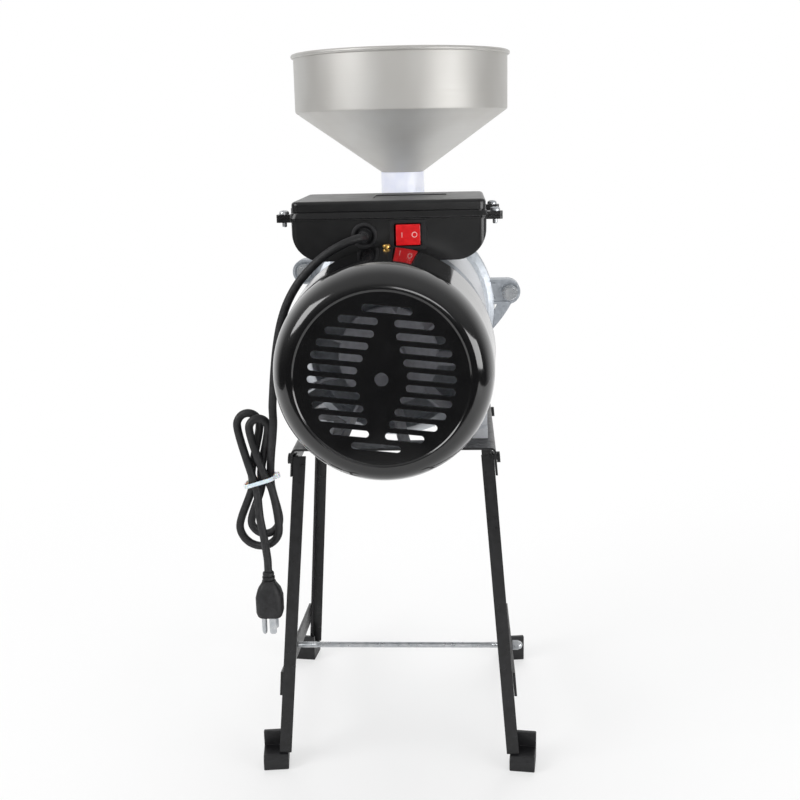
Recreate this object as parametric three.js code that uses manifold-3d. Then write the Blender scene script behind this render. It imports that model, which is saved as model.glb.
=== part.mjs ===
// Electric grain mill on a four-legged stand, in millimetres, +Z up.
// Inside this file the motor axis is the line x = 0, z = 0 and runs along +Y.
// The fan cover's face is at y = 0 and the mill's head is at the far end.
// The last lines lift the whole machine onto its feet and centre it.
import * as THREE from 'three';
import { mergeVertices } from 'three/addons/utils/BufferGeometryUtils.js';
import Module from 'manifold-3d';

const wasm = await Module();
wasm.setup();

// Clearances that many pieces share
const seatGap = 0.3;
const screwGap = 0.4;
const overrun = 2;
const sheetGap = 0.3;
const weldTolerance = 0.0001;

// Facets round the big, middle and small turned forms
const bigSides = 36;
const midSides = 24;
const lowSides = 16;
const pinSides = 10;

// Whole machine: the motor's tube leads the fan cover, the mill head, the switch box and the tray
const axisHeight = 394;
const shellRadius = 89;
const motorSeatRoom = 1;
const motorSeatDrop = shellRadius + motorSeatRoom;

// Along the shaft, from the motor's tube outwards to both ends
const shellRearY = 165;
const shellLength = 160;
const shellFrontY = shellRearY + shellLength;
const shieldDepth = 53;
const shieldRimY = shellRearY - shieldDepth;
const shieldLugReach = 14;
const shieldLugRearY = shieldRimY - shieldLugReach;
const rearBearingY = shieldRimY;
const frontBearingRoom = 0.5;
const frontBearingY = shellFrontY + seatGap + frontBearingRoom;
const housingNeckLength = 13;
const chamberRearY = shellFrontY + housingNeckLength;
const chamberDepth = 33.7;
const flangeBackY = chamberRearY + chamberDepth;
const hopperReach = 38.3;
const hopperY = flangeBackY + hopperReach;
const throatReach = 38;
const throatFrontY = hopperY + throatReach;

// Fan cover: a stamped bowl with twelve rows of stadium slots
const coverRadius = shellRadius;
const coverDepth = 105;
const coverWall = 1.5;
const coverFlare = 3;
const coverSkirtRadius = coverRadius + coverFlare;
const coverShoulderDepth = 33;
const coverShoulderRun = 19.8;
const coverFaceRadius = coverRadius - coverShoulderRun;
const coverRimWidth = 2.6;
const coverFaceSink = 1.2;
const coverHoleRadius = 5.4;
const slotHeight = 5.8;
const slotRows = 12;
const slotFieldMargin = 10.8;
const slotFieldRadius = coverFaceRadius - slotFieldMargin;
const slotRowMargin = 3.4;
const slotPitch = (2 * (slotFieldRadius - slotRowMargin)) / (slotRows - 1);
const slotBridgeHalf = 6.4;
const slotLensHalf = 21.2;
const slotLensShare = 0.36;
const slotTurnDegrees = 6;
const earthScrewInset = 2;
const earthScrewY = shieldLugRearY + earthScrewInset;
const earthScrewRadius = 3.4;
const earthScrewHead = 2.6;
const earthScrewShank = 2;

// Cooling fan
const fanCoverRoom = 9;
const fanRadius = coverRadius - fanCoverRoom;
const fanShieldRoom = 3;
const fanBackY = shieldLugRearY - fanShieldRoom;
const fanDepth = 23;
const fanFrontY = fanBackY - fanDepth;
const fanBlades = 9;
const fanBladeThick = 2.4;
const fanBladeTwistDegrees = 14;
const fanDiscRadius = 43;
const fanDiscThick = 4;
const fanBossRadius = 15;
const fanBossSink = 8;
const fanBossFrontY = fanFrontY + fanBossSink;

// Shaft and its bearings
const shaftRearProud = 2;
const shaftRearY = fanBossFrontY - shaftRearProud;
const shaftRearRadius = 8;
const shaftSeatRadius = 8.5;
const shaftCoreRadius = 11;
const shaftFrontRadius = 10;
const shaftTailRadius = 6;
const rearBearingWidth = 11;
const rearBearingRadius = 17.5;
const frontBearingWidth = 9;
const frontBearingRadius = 23;
const bearingRace = 3;
const bearingShieldSink = 0.8;

// Motor
const shellWall = 5;
const shieldHubRadius = 26;
const shieldRimStep = 19;
const shieldRimRadius = shellRadius - shieldRimStep;
const shieldWall = 4;
const shieldLugWidth = 14;
const shieldLugDegrees = [90, 210, 330];
const statorDepth = 37.7;
const statorBore = shellRadius - shellWall - seatGap - statorDepth;
const statorRearInset = 27;
const statorRearY = shellRearY + statorRearInset;
const statorFrontInset = 37;
const statorFrontY = shellFrontY - statorFrontInset;
const statorSlots = 12;
const statorSlotWidth = 5;
const statorSlotDepth = 16;
const airGap = 1;
const windingBoreStep = 4;
const windingInner = statorBore + windingBoreStep;
const windingDepth = 26;
const windingOuter = windingInner + windingDepth;
const windingLength = 18;
const padWidth = 26;
const padThick = 9;
const padNearReach = 13;
const padNearY = shellRearY - padNearReach;
const padFarInset = 19;
const padFarY = shellFrontY - padFarInset;
const padLength = 32;
const padInset = 3;
const padOuterX = shellRadius - padInset;
const footBoltInset = 16.5;
const footBoltX = padOuterX - footBoltInset;
const footBoltRadius = 4;
const footBoltHeadRadius = 6.6;
const footBoltHead = 5.4;
const footBoltNut = 6;
const footBoltTail = 4;

// Mill housing: a turned casting that the motor carries
const housingLip = 4;
const housingGrooveDepth = 4;
const housingGroove = shellRadius - housingGrooveDepth;
const housingBeadRise = 3.4;
const housingBead = shellRadius + housingBeadRise;
const housingBeadRound = 0.25;
const housingWaistDepth = 1;
const housingWaist = shellRadius - housingWaistDepth;
const housingRingShares = [1.5, 2.3, 1.6];
const flangeRise = 10;
const flangeRadius = shellRadius + flangeRise;
const flangeThick = 9.7;
const chamberRim = 19;
const chamberRadius = flangeRadius - chamberRim;
const chamberShaftGap = 2.6;
const spoutHalfWidth = 33;
const spoutWall = 3.6;
const spoutDrop = 128;
const spoutFloorInset = 3;
const spoutRearY = chamberRearY + spoutFloorInset;

// Ears, the right one lower than the left as they sit on the casting
const earThick = 11;
const earHalfHeight = 13.4;
const earRightReach = 14.6;
const earRightX = flangeRadius + earRightReach;
const earRightZ = 15.6;
const earLeftReach = 7;
const earLeftX = -flangeRadius - earLeftReach;
const earLeftZ = 40.6;
const earPocketDepth = 2.6;
const earBorder = 2.6;
const earRib = 2;
const earBossRadius = 9;
const earBoltRadius = 4;
const earBoltHeadRadius = 7.2;
const earBoltHead = 5.6;
const earWasherRadius = 8.4;
const earWasherThick = 1.5;
const earBoltLength = 34;
const earNutThick = 7;

// Front cover with its feed throat, inlet neck and stay
const coverPlate = 7.5;
const throatRadius = 34;
const throatBore = 26.6;
const throatEndWall = 7;
const neckRadius = 25;
const neckBore = 19;
const neckCupRadius = 28;
const neckCupFloor = 96;
const neckCupTop = 109;
const coverRibThick = 5;
const coverRibs = 6;
const bossRadius = 15;
const bossLength = 10;
const stayThick = 7.2;
const stayDropShare = 2.4;
const stayFootShare = 1.4;
const stayRootShares = [0.72, 1.4];
const coverRibShares = [1.5, 0.6];

// Burrs and the feed screw
const burrRoom = 10;
const burrRadius = chamberRadius - burrRoom;
const burrGap = 1.2;
const fixedBurrThick = 14;
const spinBurrThick = 12;
const burrFurrows = 12;
const furrowDepth = 2.2;
const furrowWidth = 5;
const furrowLean = 16;
const augerRadius = 24.6;
const augerCore = 10;
const augerPitch = 30;
const augerFlight = 4;
const augerStepsPerTurn = 12;

// Adjusting screw and knob
const adjustRadius = 6;
const padDiscRadius = 10;
const padDiscThick = 5;
const padSocketDepth = 2;
const lockNutRadius = 11;
const lockNutThick = 6;
const knobRadius = 27;
const knobThick = 16;
const knobReach = 32;
const knobRearY = throatFrontY + knobReach;
const knobLobes = 6;
const knobLobeRadius = 8;
const knobHubRadius = 13;
const knobBodyShare = 0.8;
const adjustTravelRoom = 6;

// Hopper, feed tube and gate
const hopperRadius = 115;
const hopperWall = 1.4;
const hopperRimZ = 266;
const hopperBandZ = 208.3;
const hopperNeckZ = 143.6;
const hopperSpigotLength = 22;
const hopperRollRadius = 2.3;
const hopperRollShares = [1.52, 0.62];
const hopperSlopeShare = 1.2;
const tubeRadius = 23.6;
const tubeWall = 3;
const gateThick = 2;
const gateZ = 85;
const gateWidth = 42;
const gateTab = 16;
const gateTabRise = 12;
const gateRoom = 0.5;

// Switch box
const boxNearReach = 33;
const boxNearY = shellRearY - boxNearReach;
const boxLength = 124;
const boxFarY = boxNearY + boxLength;
const boxHalfWidth = 85.2;
const boxRimProud = 1.4;
const boxRimHalfWidth = boxHalfWidth + boxRimProud;
const boxSaddleDepth = 11.8;
const boxBottomZ = shellRadius - boxSaddleDepth;
const boxHeight = 36.7;
const boxRimZ = boxBottomZ + boxHeight;
const boxRimThick = 1.2;
const boxWall = 2.6;
const boxCornerRadius = 27;
const boxPlanRadius = 9;
const lidHeight = 15.2;
const lidTopZ = boxRimZ + lidHeight;
const lidBandHeight = 5.6;
const lidStep = 0.9;
const lidWall = 2.4;
const lidEdge = 2;
const lidPanelWidth = 66;
const lidPanelDepth = 52;
const lidPanelSink = 0.8;
const lidPanelRadius = 4;
const lugLength = 13;
const lugReach = boxRimHalfWidth + lugLength;
const lugHalfWidth = 6;
const lugInset = 18;
const lugThick = 5;
const lidScrewReach = 6.4;
const lidScrewX = boxRimHalfWidth + lidScrewReach;
const lidScrewRadius = 2.1;
const lidScrewHeadRadius = 4.4;
const lidScrewHeadHeight = 3.4;
const lidScrewTail = 4.5;
const lidScrewCrownShare = 0.7;
const capacitorRadius = 15.6;
const capacitorLength = 62;
const capacitorInset = 31.2;
const capacitorX = capacitorInset - boxHalfWidth;
const capacitorRim = 1.2;

// Rocker switch
const switchX = 17;
const switchRise = 22.5;
const switchZ = boxBottomZ + switchRise;
const bezelWidth = 32;
const bezelHeight = 25.4;
const bezelProud = 2.4;
const switchBodyWidth = 27;
const switchBodyHeight = 21.5;
const switchBodyDepth = 20;
const switchCavityDepth = 12;
const rockerWidth = 22;
const rockerHeight = 18;
const rockerGap = 0.7;
const rockerRise = 4.6;
const rockerRidge = 2.4;
const rockerDip = 0.5;
const rockerKeel = 7;
const rockerProudShare = 0.93;
const rockerFlankShare = 0.86;

// Cord, its grommet, plug and tie
const cordDiameter = 7.4;
const cordSides = 8;
const cordStepShare = 1.4;
const grommetX = -20.8;
const grommetRise = 22.3;
const grommetZ = boxBottomZ + grommetRise;
const grommetRadius = 11.4;
const grommetNoseRadius = 6.6;
const grommetFlange = 3;
const grommetLength = 16;
const grommetWaistRadius = 8;
const grommetRingShares = [0.8, 1.4, 0.9];
const hankSides = 6;
const hankStepLength = 11.4;
const plugX = -117;
const plugY = 111;
const plugTopZ = -214;
const plugWidth = 25;
const plugDepth = 19;
const plugBodyLength = 33;
const plugNeckLength = 10;
const plugNeckRadius = 6.4;
const bladeWidth = 6.3;
const bladeThick = 1.5;
const bladeLength = 16;
const bladeSpread = 6.35;
const groundPinRadius = 2.4;
const groundPinLength = 19;
const groundPinOffset = 6;
const plugWidthShares = [0.42, 0.44];
const plugDropShares = [0.2, 0.45, 0.1];
const plugNeckShares = [0.62, 0.45, 0.9];
const plugCornerShare = 0.3;
const tieBand = 3.6;
const tieThick = 1.3;
const tieHead = 5;
const tieTiltDegrees = 17;
const tieLayerShare = 0.5;

// Stand
const trayMargin = 6.8;
const trayHalfWidth = padOuterX + trayMargin;
const trayNearReach = 31;
const trayNearY = padNearY - trayNearReach;
const trayFarInset = 1;
const trayFarY = padFarY - trayFarInset;
const traySheet = 2;
const trayFlange = 26;
const trayFold = 5;
const trayWindowHalf = 45;
const trayWindowInset = 28;
const trayWindowRadius = 8;
const legWidth = 11.4;
const legDepth = 14;
const legSheet = 2;
const legSplayX = 22;
const legSplayY = 27;
const legBoltRadius = 2.7;
const legBoltHeadRadius = 5;
const legBoltHead = 3;
const legBoltDrop = 11;
const legBoltInset = 9;
const legBoltSink = 1;
const legShankShare = 1.5;
const footHalfWidth = 11.7;
const footSpread = 23.6;
const footCentreX = trayHalfWidth + footSpread;
const footDepth = 27;
const footFrontLip = 7;
const footSeat = 14;
const footWall = 28;
const footWallThick = 5;
const footYawDegrees = 7;
const railSheet = 2.5;
const railHeight = 24;
const railNearRise = 68;
const railDrop = 26;
const railOverhang = 3;
const rodRadius = 3.1;
const rodEnd = 7;
const domeNutRadius = 5.4;
const domeNutThick = 6;
const domeBallShare = 0.8;
const domeSides = 12;
const domeBands = 8;
const hexSides = 6;

// Turns any closed three.js geometry into a solid that faces outwards.
function solid(geometry) {
  const bare = geometry.clone();
  bare.deleteAttribute('normal');
  bare.deleteAttribute('uv');
  const merged = mergeVertices(bare, weldTolerance);
  const at = merged.attributes.position;
  const kept = [];
  let volume = 0;
  const a = new THREE.Vector3();
  const b = new THREE.Vector3();
  const c = new THREE.Vector3();
  for (let i = 0; i < merged.index.count; i += 3) {
    const tri = [0, 1, 2].map((k) => merged.index.getX(i + k));
    if (tri[0] === tri[1] || tri[1] === tri[2] || tri[2] === tri[0]) continue;
    kept.push(tri);
    a.fromBufferAttribute(at, tri[0]);
    b.fromBufferAttribute(at, tri[1]);
    c.fromBufferAttribute(at, tri[2]);
    volume += a.dot(b.cross(c));
  }
  const order = volume < 0 ? [0, 2, 1] : [0, 1, 2];
  const triVerts = new Uint32Array(kept.flatMap((tri) => order.map((k) => tri[k])));
  const vertProperties = new Float32Array(at.array);
  return new wasm.Manifold(new wasm.Mesh({ numProp: 3, vertProperties, triVerts }));
}

// Basic solids, placed by their limits
function block(x0, x1, y0, y1, z0, z1) {
  const box = new THREE.BoxGeometry(x1 - x0, y1 - y0, z1 - z0);
  return solid(box.translate((x0 + x1) / 2, (y0 + y1) / 2, (z0 + z1) / 2));
}

function rodY(radius, y0, y1, sides = lowSides, x = 0, z = 0) {
  const rod = new THREE.CylinderGeometry(radius, radius, y1 - y0, sides);
  return solid(rod.translate(x, (y0 + y1) / 2, z));
}

function rodZ(radius, z0, z1, sides = lowSides, x = 0, y = 0) {
  const rod = new THREE.CylinderGeometry(radius, radius, z1 - z0, sides).rotateX(Math.PI / 2);
  return solid(rod.translate(x, y, (z0 + z1) / 2));
}

function rodX(radius, x0, x1, sides = lowSides, y = 0, z = 0) {
  const rod = new THREE.CylinderGeometry(radius, radius, x1 - x0, sides).rotateZ(Math.PI / 2);
  return solid(rod.translate((x0 + x1) / 2, y, z));
}

// A profile of [radius, place] points turned about the Y axis or a Z axis
function turnedY(points, sides = bigSides, x = 0, z = 0) {
  const profile = points.map(([r, y]) => new THREE.Vector2(r, y));
  return solid(new THREE.LatheGeometry(profile, sides).translate(x, 0, z));
}

function turnedZ(points, sides = bigSides, x = 0, y = 0) {
  const profile = points.map(([r, z]) => new THREE.Vector2(r, z));
  return solid(new THREE.LatheGeometry(profile, sides).rotateX(Math.PI / 2).translate(x, y, 0));
}

// A shape drawn in X and Z, pulled along Y
function prismY(shape, y0, y1, curveSegments = 3) {
  const pulled = new THREE.ExtrudeGeometry(shape, { depth: y1 - y0, bevelEnabled: false, curveSegments });
  return solid(pulled.rotateX(Math.PI / 2).translate(0, y1, 0));
}

// A shape drawn in X and Y, pulled along Z
function prismZ(shape, z0, z1, curveSegments = 3) {
  const pulled = new THREE.ExtrudeGeometry(shape, { depth: z1 - z0, bevelEnabled: false, curveSegments });
  return solid(pulled.translate(0, 0, z0));
}

// A shape drawn in Y and Z, pulled along X
function prismX(shape, x0, x1, curveSegments = 3) {
  const pulled = new THREE.ExtrudeGeometry(shape, { depth: x1 - x0, bevelEnabled: false, curveSegments });
  const turn = new THREE.Matrix4().makeBasis(
    new THREE.Vector3(0, 1, 0), new THREE.Vector3(0, 0, 1), new THREE.Vector3(1, 0, 0));
  return solid(pulled.applyMatrix4(turn).translate(x0, 0, 0));
}

function polygon(points) {
  return new THREE.Shape(points.map(([u, v]) => new THREE.Vector2(u, v)));
}

function roundedRect(u0, u1, v0, v1, radius) {
  const quarter = Math.PI / 2;
  const shape = new THREE.Shape();
  shape.moveTo(u0 + radius, v0);
  shape.lineTo(u1 - radius, v0);
  shape.absarc(u1 - radius, v0 + radius, radius, -quarter, 0, false);
  shape.lineTo(u1, v1 - radius);
  shape.absarc(u1 - radius, v1 - radius, radius, 0, quarter, false);
  shape.lineTo(u0 + radius, v1);
  shape.absarc(u0 + radius, v1 - radius, radius, quarter, 2 * quarter, false);
  shape.lineTo(u0, v0 + radius);
  shape.absarc(u0 + radius, v0 + radius, radius, 2 * quarter, 3 * quarter, false);
  return shape;
}

function stadium(u0, u1, v, half) {
  return roundedRect(u0, u1, v - half, v + half, half);
}

function hexagon(radius) {
  const corners = [];
  for (let i = 0; i < 6; i += 1) {
    const angle = (i * Math.PI) / 3;
    corners.push([radius * Math.cos(angle), radius * Math.sin(angle)]);
  }
  return polygon(corners);
}

function join(first, ...others) {
  return others.reduce((sum, other) => sum.add(other), first);
}

function cut(first, ...others) {
  return others.reduce((rest, other) => rest.subtract(other), first);
}

function moved(piece, x, y, z) {
  return piece.translate([x, y, z]);
}

// Looks of the pieces
const looks = {
  blackPaint: { color: 0x0c0c0e, roughness: 0.22, metalness: 0.3 },
  silverPaint: { color: 0xb9bbbf, roughness: 0.42, metalness: 0.5 },
  castAluminium: { color: 0xaeb2b6, roughness: 0.5, metalness: 0.75 },
  stainless: { color: 0xb4b1aa, roughness: 0.3, metalness: 0.95 },
  blackPlastic: { color: 0x0a0a0b, roughness: 0.18, metalness: 0 },
  satinBlack: { color: 0x17171a, roughness: 0.5, metalness: 0.1 },
  blackRubber: { color: 0x1b1c1f, roughness: 0.7, metalness: 0 },
  fanGrey: { color: 0x5d5e62, roughness: 0.55, metalness: 0.2 },
  red: { color: 0xd3121a, roughness: 0.25, metalness: 0 },
  white: { color: 0xeef0fa, roughness: 0.35, metalness: 0 },
  zinc: { color: 0xa3a8ab, roughness: 0.35, metalness: 0.9 },
  brass: { color: 0xc49a4a, roughness: 0.35, metalness: 0.9 },
  copper: { color: 0xa5562a, roughness: 0.4, metalness: 0.8 },
  steel: { color: 0x85888c, roughness: 0.45, metalness: 0.9 },
  castIron: { color: 0x55575a, roughness: 0.6, metalness: 0.7 },
};

const machine = new THREE.Group();

function add(name, piece, look) {
  const mesh = piece.getMesh();
  const geometry = new THREE.BufferGeometry();
  geometry.setAttribute('position', new THREE.BufferAttribute(mesh.vertProperties, mesh.numProp));
  geometry.setIndex(new THREE.BufferAttribute(mesh.triVerts, 1));
  const made = new THREE.Mesh(geometry, new THREE.MeshStandardMaterial(looks[look]));
  made.name = name;
  machine.add(made);
}

// Fan cover
// The bowl is one closed wall: sunk face, rim line, round shoulder, flared skirt.
function fanCoverWall() {
  const rimOuter = coverFaceRadius + coverRimWidth;
  const shoulder = (inset, steps) => {
    const points = [];
    for (let i = 0; i <= steps; i += 1) {
      const t = (i / steps) * (Math.PI / 2);
      const r = rimOuter - inset + (coverRadius - rimOuter) * Math.sin(t);
      points.push([r, inset + (coverShoulderDepth - inset) * (1 - Math.cos(t))]);
    }
    return points;
  };
  return turnedY([
    [0, coverFaceSink], [coverFaceRadius, coverFaceSink], [coverFaceRadius + coverWall / 2, 0],
    ...shoulder(0, 5), [coverSkirtRadius, coverDepth], [coverSkirtRadius - coverWall, coverDepth],
    ...shoulder(coverWall, 3).reverse(), [coverFaceRadius - coverWall, coverFaceSink + coverWall],
    [0, coverFaceSink + coverWall],
  ], bigSides);
}

// Each row is two slots between the round field's edge and a lens of solid metal.
// The outermost rows close into one slot across the middle.
function coverSlots() {
  const slots = [];
  const back = coverFaceSink + coverWall + overrun;
  const half = slotHeight / 2;
  for (let row = 0; row < slotRows; row += 1) {
    const v = (row - (slotRows - 1) / 2) * slotPitch;
    const outer = Math.sqrt(slotFieldRadius ** 2 - v ** 2);
    const inner = Math.max(slotBridgeHalf, slotLensHalf - slotLensShare * Math.abs(v));
    const isEnd = row === 0 || row === slotRows - 1;
    const spans = isEnd ? [[-outer, outer]] : [[-outer, -inner], [inner, outer]];
    for (const [u0, u1] of spans) {
      slots.push(prismY(stadium(u0, u1, v, half), -overrun, back, 2));
    }
  }
  return join(...slots).rotate([0, slotTurnDegrees, 0]);
}

function buildFanCover() {
  const hole = rodY(coverHoleRadius, -overrun, coverFaceSink + coverWall + overrun);
  const screwHole = rodZ(earthScrewShank + screwGap, coverRadius - overrun * 2,
    coverSkirtRadius + overrun, pinSides, 0, earthScrewY);
  add('fan_cover', cut(fanCoverWall(), coverSlots(), hole, screwHole), 'blackPaint');
  const skirtHere = coverSkirtRadius + seatGap;
  const head = turnedZ([
    [0, skirtHere], [earthScrewRadius, skirtHere], [earthScrewRadius, skirtHere + earthScrewHead / 2],
    [earthScrewRadius / 2, skirtHere + earthScrewHead], [0, skirtHere + earthScrewHead],
  ], pinSides, 0, earthScrewY);
  const shank = rodZ(earthScrewShank, coverRadius - shieldWall, skirtHere + overrun / 4,
    pinSides, 0, earthScrewY);
  add('earth_screw', join(head, shank), 'brass');
}

// Cooling fan: a disc with a boss, and paddles round its rim
function buildFan() {
  const bore = shaftRearRadius + seatGap;
  const disc = turnedY([
    [bore, fanBossFrontY], [fanBossRadius, fanBossFrontY], [fanBossRadius, fanBackY - fanDiscThick],
    [fanDiscRadius, fanBackY - fanDiscThick], [fanDiscRadius, fanBackY], [bore, fanBackY],
    [bore, fanBossFrontY],
  ], midSides);
  const blades = [];
  const bladeRoot = fanDiscRadius - fanBladeThick;
  const blade = block(bladeRoot, fanRadius, -(fanBackY - fanFrontY) / 2, (fanBackY - fanFrontY) / 2,
    -fanBladeThick / 2, fanBladeThick / 2);
  const leaning = blade.rotate([fanBladeTwistDegrees, 0, 0]);
  const trim = block(0, 2 * fanRadius, fanFrontY, fanBackY, -fanRadius, fanRadius);
  for (let i = 0; i < fanBlades; i += 1) {
    const placed = moved(leaning, 0, (fanFrontY + fanBackY) / 2, 0);
    blades.push(placed.intersect(trim).rotate([0, (360 * i) / fanBlades, 0]));
  }
  add('cooling_fan', join(disc, ...blades), 'fanGrey');
}

// Shaft, rotor and bearings
const fixedBurrFrontY = flangeBackY;
const fixedBurrRearY = fixedBurrFrontY - fixedBurrThick;
const spinBurrFrontY = fixedBurrRearY - burrGap;
const spinBurrRearY = spinBurrFrontY - spinBurrThick;
const augerRearY = spinBurrFrontY + seatGap;
const padFrontY = throatFrontY - throatEndWall - adjustTravelRoom;
const padRearY = padFrontY - padDiscThick;
const shaftTailY = padRearY - seatGap;
const augerFrontY = shaftTailY - seatGap;

function buildShaft() {
  const rearSeatEnd = rearBearingY + rearBearingWidth + seatGap;
  add('main_shaft', turnedY([
    [0, shaftRearY], [shaftRearRadius, shaftRearY], [shaftRearRadius, rearBearingY - seatGap],
    [shaftSeatRadius, rearBearingY - seatGap], [shaftSeatRadius, rearSeatEnd],
    [shaftCoreRadius, rearSeatEnd], [shaftCoreRadius, frontBearingY - seatGap],
    [shaftFrontRadius, frontBearingY - seatGap], [shaftFrontRadius, spinBurrFrontY],
    [shaftTailRadius, spinBurrFrontY], [shaftTailRadius, shaftTailY], [0, shaftTailY],
  ], lowSides), 'steel');
  const coreBore = shaftCoreRadius + seatGap;
  const coreRadius = statorBore - airGap;
  add('rotor_core', turnedY([
    [coreBore, statorRearY], [coreRadius, statorRearY], [coreRadius, statorFrontY],
    [coreBore, statorFrontY], [coreBore, statorRearY],
  ], midSides), 'steel');
}

function bearing(name, bore, radius, rearY, width) {
  const frontY = rearY + width;
  const inner = bore + bearingRace;
  const outer = radius - bearingRace;
  add(name, turnedY([
    [bore, rearY], [inner, rearY], [inner, rearY + bearingShieldSink], [outer, rearY + bearingShieldSink],
    [outer, rearY], [radius, rearY], [radius, frontY], [outer, frontY],
    [outer, frontY - bearingShieldSink], [inner, frontY - bearingShieldSink], [inner, frontY],
    [bore, frontY], [bore, rearY],
  ], lowSides), 'zinc');
}

// Motor: rear end shield, shell with cast pads, stator and windings
function buildMotor() {
  const seat = rearBearingRadius + seatGap;
  const webRearY = rearBearingY + rearBearingWidth + seatGap;
  const webFrontY = webRearY + shieldWall;
  const hubRearY = rearBearingY - seatGap;
  const bodyRearY = shellRearY - seatGap;
  let shield = turnedY([
    [seat, hubRearY], [shieldHubRadius, hubRearY], [shieldHubRadius, webRearY],
    [shieldRimRadius - shieldWall, webRearY], [shieldRimRadius - shieldWall, shieldRimY],
    [shieldRimRadius, shieldRimY], [shellRadius, bodyRearY], [shellRadius - shellWall, bodyRearY],
    [shieldRimRadius - shieldWall, webFrontY], [shaftCoreRadius + seatGap, webFrontY],
    [shaftCoreRadius + seatGap, webRearY], [seat, webRearY], [seat, hubRearY],
  ], bigSides);
  const lugRadius = coverSkirtRadius - coverWall - seatGap * 2;
  const within = rodY(lugRadius - seatGap, shieldLugRearY, shellRearY, bigSides);
  for (const degrees of shieldLugDegrees) {
    const lug = block(shieldRimRadius - shieldWall, coverSkirtRadius, shieldLugRearY,
      shieldRimY + shieldLugWidth, -shieldLugWidth / 2, shieldLugWidth / 2);
    shield = shield.add(lug.intersect(within).rotate([0, -degrees, 0]));
  }
  const tapped = rodZ(earthScrewShank + screwGap, shieldRimRadius + shieldWall, coverSkirtRadius,
    pinSides, 0, earthScrewY);
  add('motor_rear_shield', cut(shield, tapped), 'castAluminium');

  const inner = shellRadius - shellWall;
  let shell = turnedY([
    [inner, shellRearY], [shellRadius, shellRearY], [shellRadius, shellFrontY], [inner, shellFrontY],
    [inner, shellRearY],
  ], bigSides);
  const hollow = rodY(inner, padNearY - overrun, shellFrontY + overrun, bigSides);
  for (const side of [-1, 1]) {
    for (const nearY of [padNearY, padFarY - padLength]) {
      const x0 = side < 0 ? -padOuterX : padOuterX - padWidth;
      const plate = block(x0, x0 + padWidth, nearY, nearY + padLength, -motorSeatDrop, padThick - motorSeatDrop);
      const webNear = Math.max(nearY, shellRearY);
      const x1 = side < 0 ? -padOuterX : padOuterX - padWidth / 3;
      const web = block(x1, x1 + padWidth / 3, webNear, nearY + padLength, -motorSeatDrop, -shellRadius / 3);
      shell = shell.add(cut(join(plate, web), hollow));
    }
  }
  for (const x of [-footBoltX, footBoltX]) {
    for (const y of footBoltPlaces()) {
      shell = shell.subtract(rodZ(footBoltRadius + screwGap, -motorSeatDrop - overrun,
        padThick - motorSeatDrop + overrun, pinSides, x, y));
      const room = rodZ(footBoltHeadRadius + seatGap * 2, padThick - motorSeatDrop,
        padThick - motorSeatDrop + footBoltHead * 2, pinSides, x, y);
      shell = shell.subtract(room);
    }
  }
  add('motor_shell', shell, 'silverPaint');

  const coreOuter = inner - seatGap;
  let stator = turnedY([
    [statorBore, statorRearY], [coreOuter, statorRearY], [coreOuter, statorFrontY],
    [statorBore, statorFrontY], [statorBore, statorRearY],
  ], bigSides);
  for (let i = 0; i < statorSlots; i += 1) {
    const groove = block(statorBore - overrun, statorBore + statorSlotDepth, statorRearY - overrun,
      statorFrontY + overrun, -statorSlotWidth / 2, statorSlotWidth / 2);
    stator = stator.subtract(groove.rotate([0, (360 * i) / statorSlots, 0]));
  }
  add('stator_core', stator, 'steel');
  winding('winding_rear', statorRearY - seatGap - windingLength, statorRearY - seatGap);
  winding('winding_front', statorFrontY + seatGap, statorFrontY + seatGap + windingLength);
}

function winding(name, rearY, frontY) {
  const middle = (windingInner + windingOuter) / 2;
  const half = (windingOuter - windingInner) / 2;
  const centreY = (rearY + frontY) / 2;
  const halfLength = (frontY - rearY) / 2;
  const points = [];
  const corners = 8;
  for (let i = 0; i <= corners; i += 1) {
    const angle = (2 * Math.PI * (i + 0.5)) / corners;
    const stretch = 1 / Math.cos(Math.PI / corners);
    const v = Math.max(-1, Math.min(1, stretch * Math.sin(angle)));
    points.push([middle + half * Math.cos(angle), centreY + halfLength * v]);
  }
  add(name, turnedY(points, lowSides), 'copper');
}

function footBoltPlaces() {
  return [padNearY + padLength / 3, padFarY - padLength / 2];
}

// Four bolts hold the motor's pads to the tray, each with its nut below the sheet.
function buildMotorBolts() {
  const names = { '-1,0': 'near_left', '1,0': 'near_right', '-1,1': 'far_left', '1,1': 'far_right' };
  const padTop = padThick - motorSeatDrop + seatGap;
  const sheetUnder = -motorSeatDrop - sheetGap - traySheet - seatGap;
  for (const side of [-1, 1]) {
    footBoltPlaces().forEach((y, i) => {
      const x = side * footBoltX;
      const head = moved(prismZ(hexagon(footBoltHeadRadius), padTop, padTop + footBoltHead), x, y, 0);
      const nut = moved(prismZ(hexagon(footBoltHeadRadius), sheetUnder - footBoltNut, sheetUnder), x, y, 0);
      const shank = rodZ(footBoltRadius, sheetUnder - footBoltNut - footBoltTail, padTop + overrun,
        pinSides, x, y);
      add(`motor_bolt_${names[`${side},${i}`]}`, join(head, nut, shank), 'zinc');
    });
  }
}

// An ear's outline in X and Z, from inside the rim out to its round end
function earOutline(x, z, inset) {
  const half = earHalfHeight - inset;
  const root = Math.sign(x) * (chamberRadius - inset);
  return x > 0 ? stadium(root - half, x + half, z, half) : stadium(x - half, root + half, z, half);
}

function earBoltPlace(side) {
  return side > 0 ? [earRightX + earRib, earRightZ - earRib / 2] : [earLeftX, earLeftZ];
}

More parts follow.
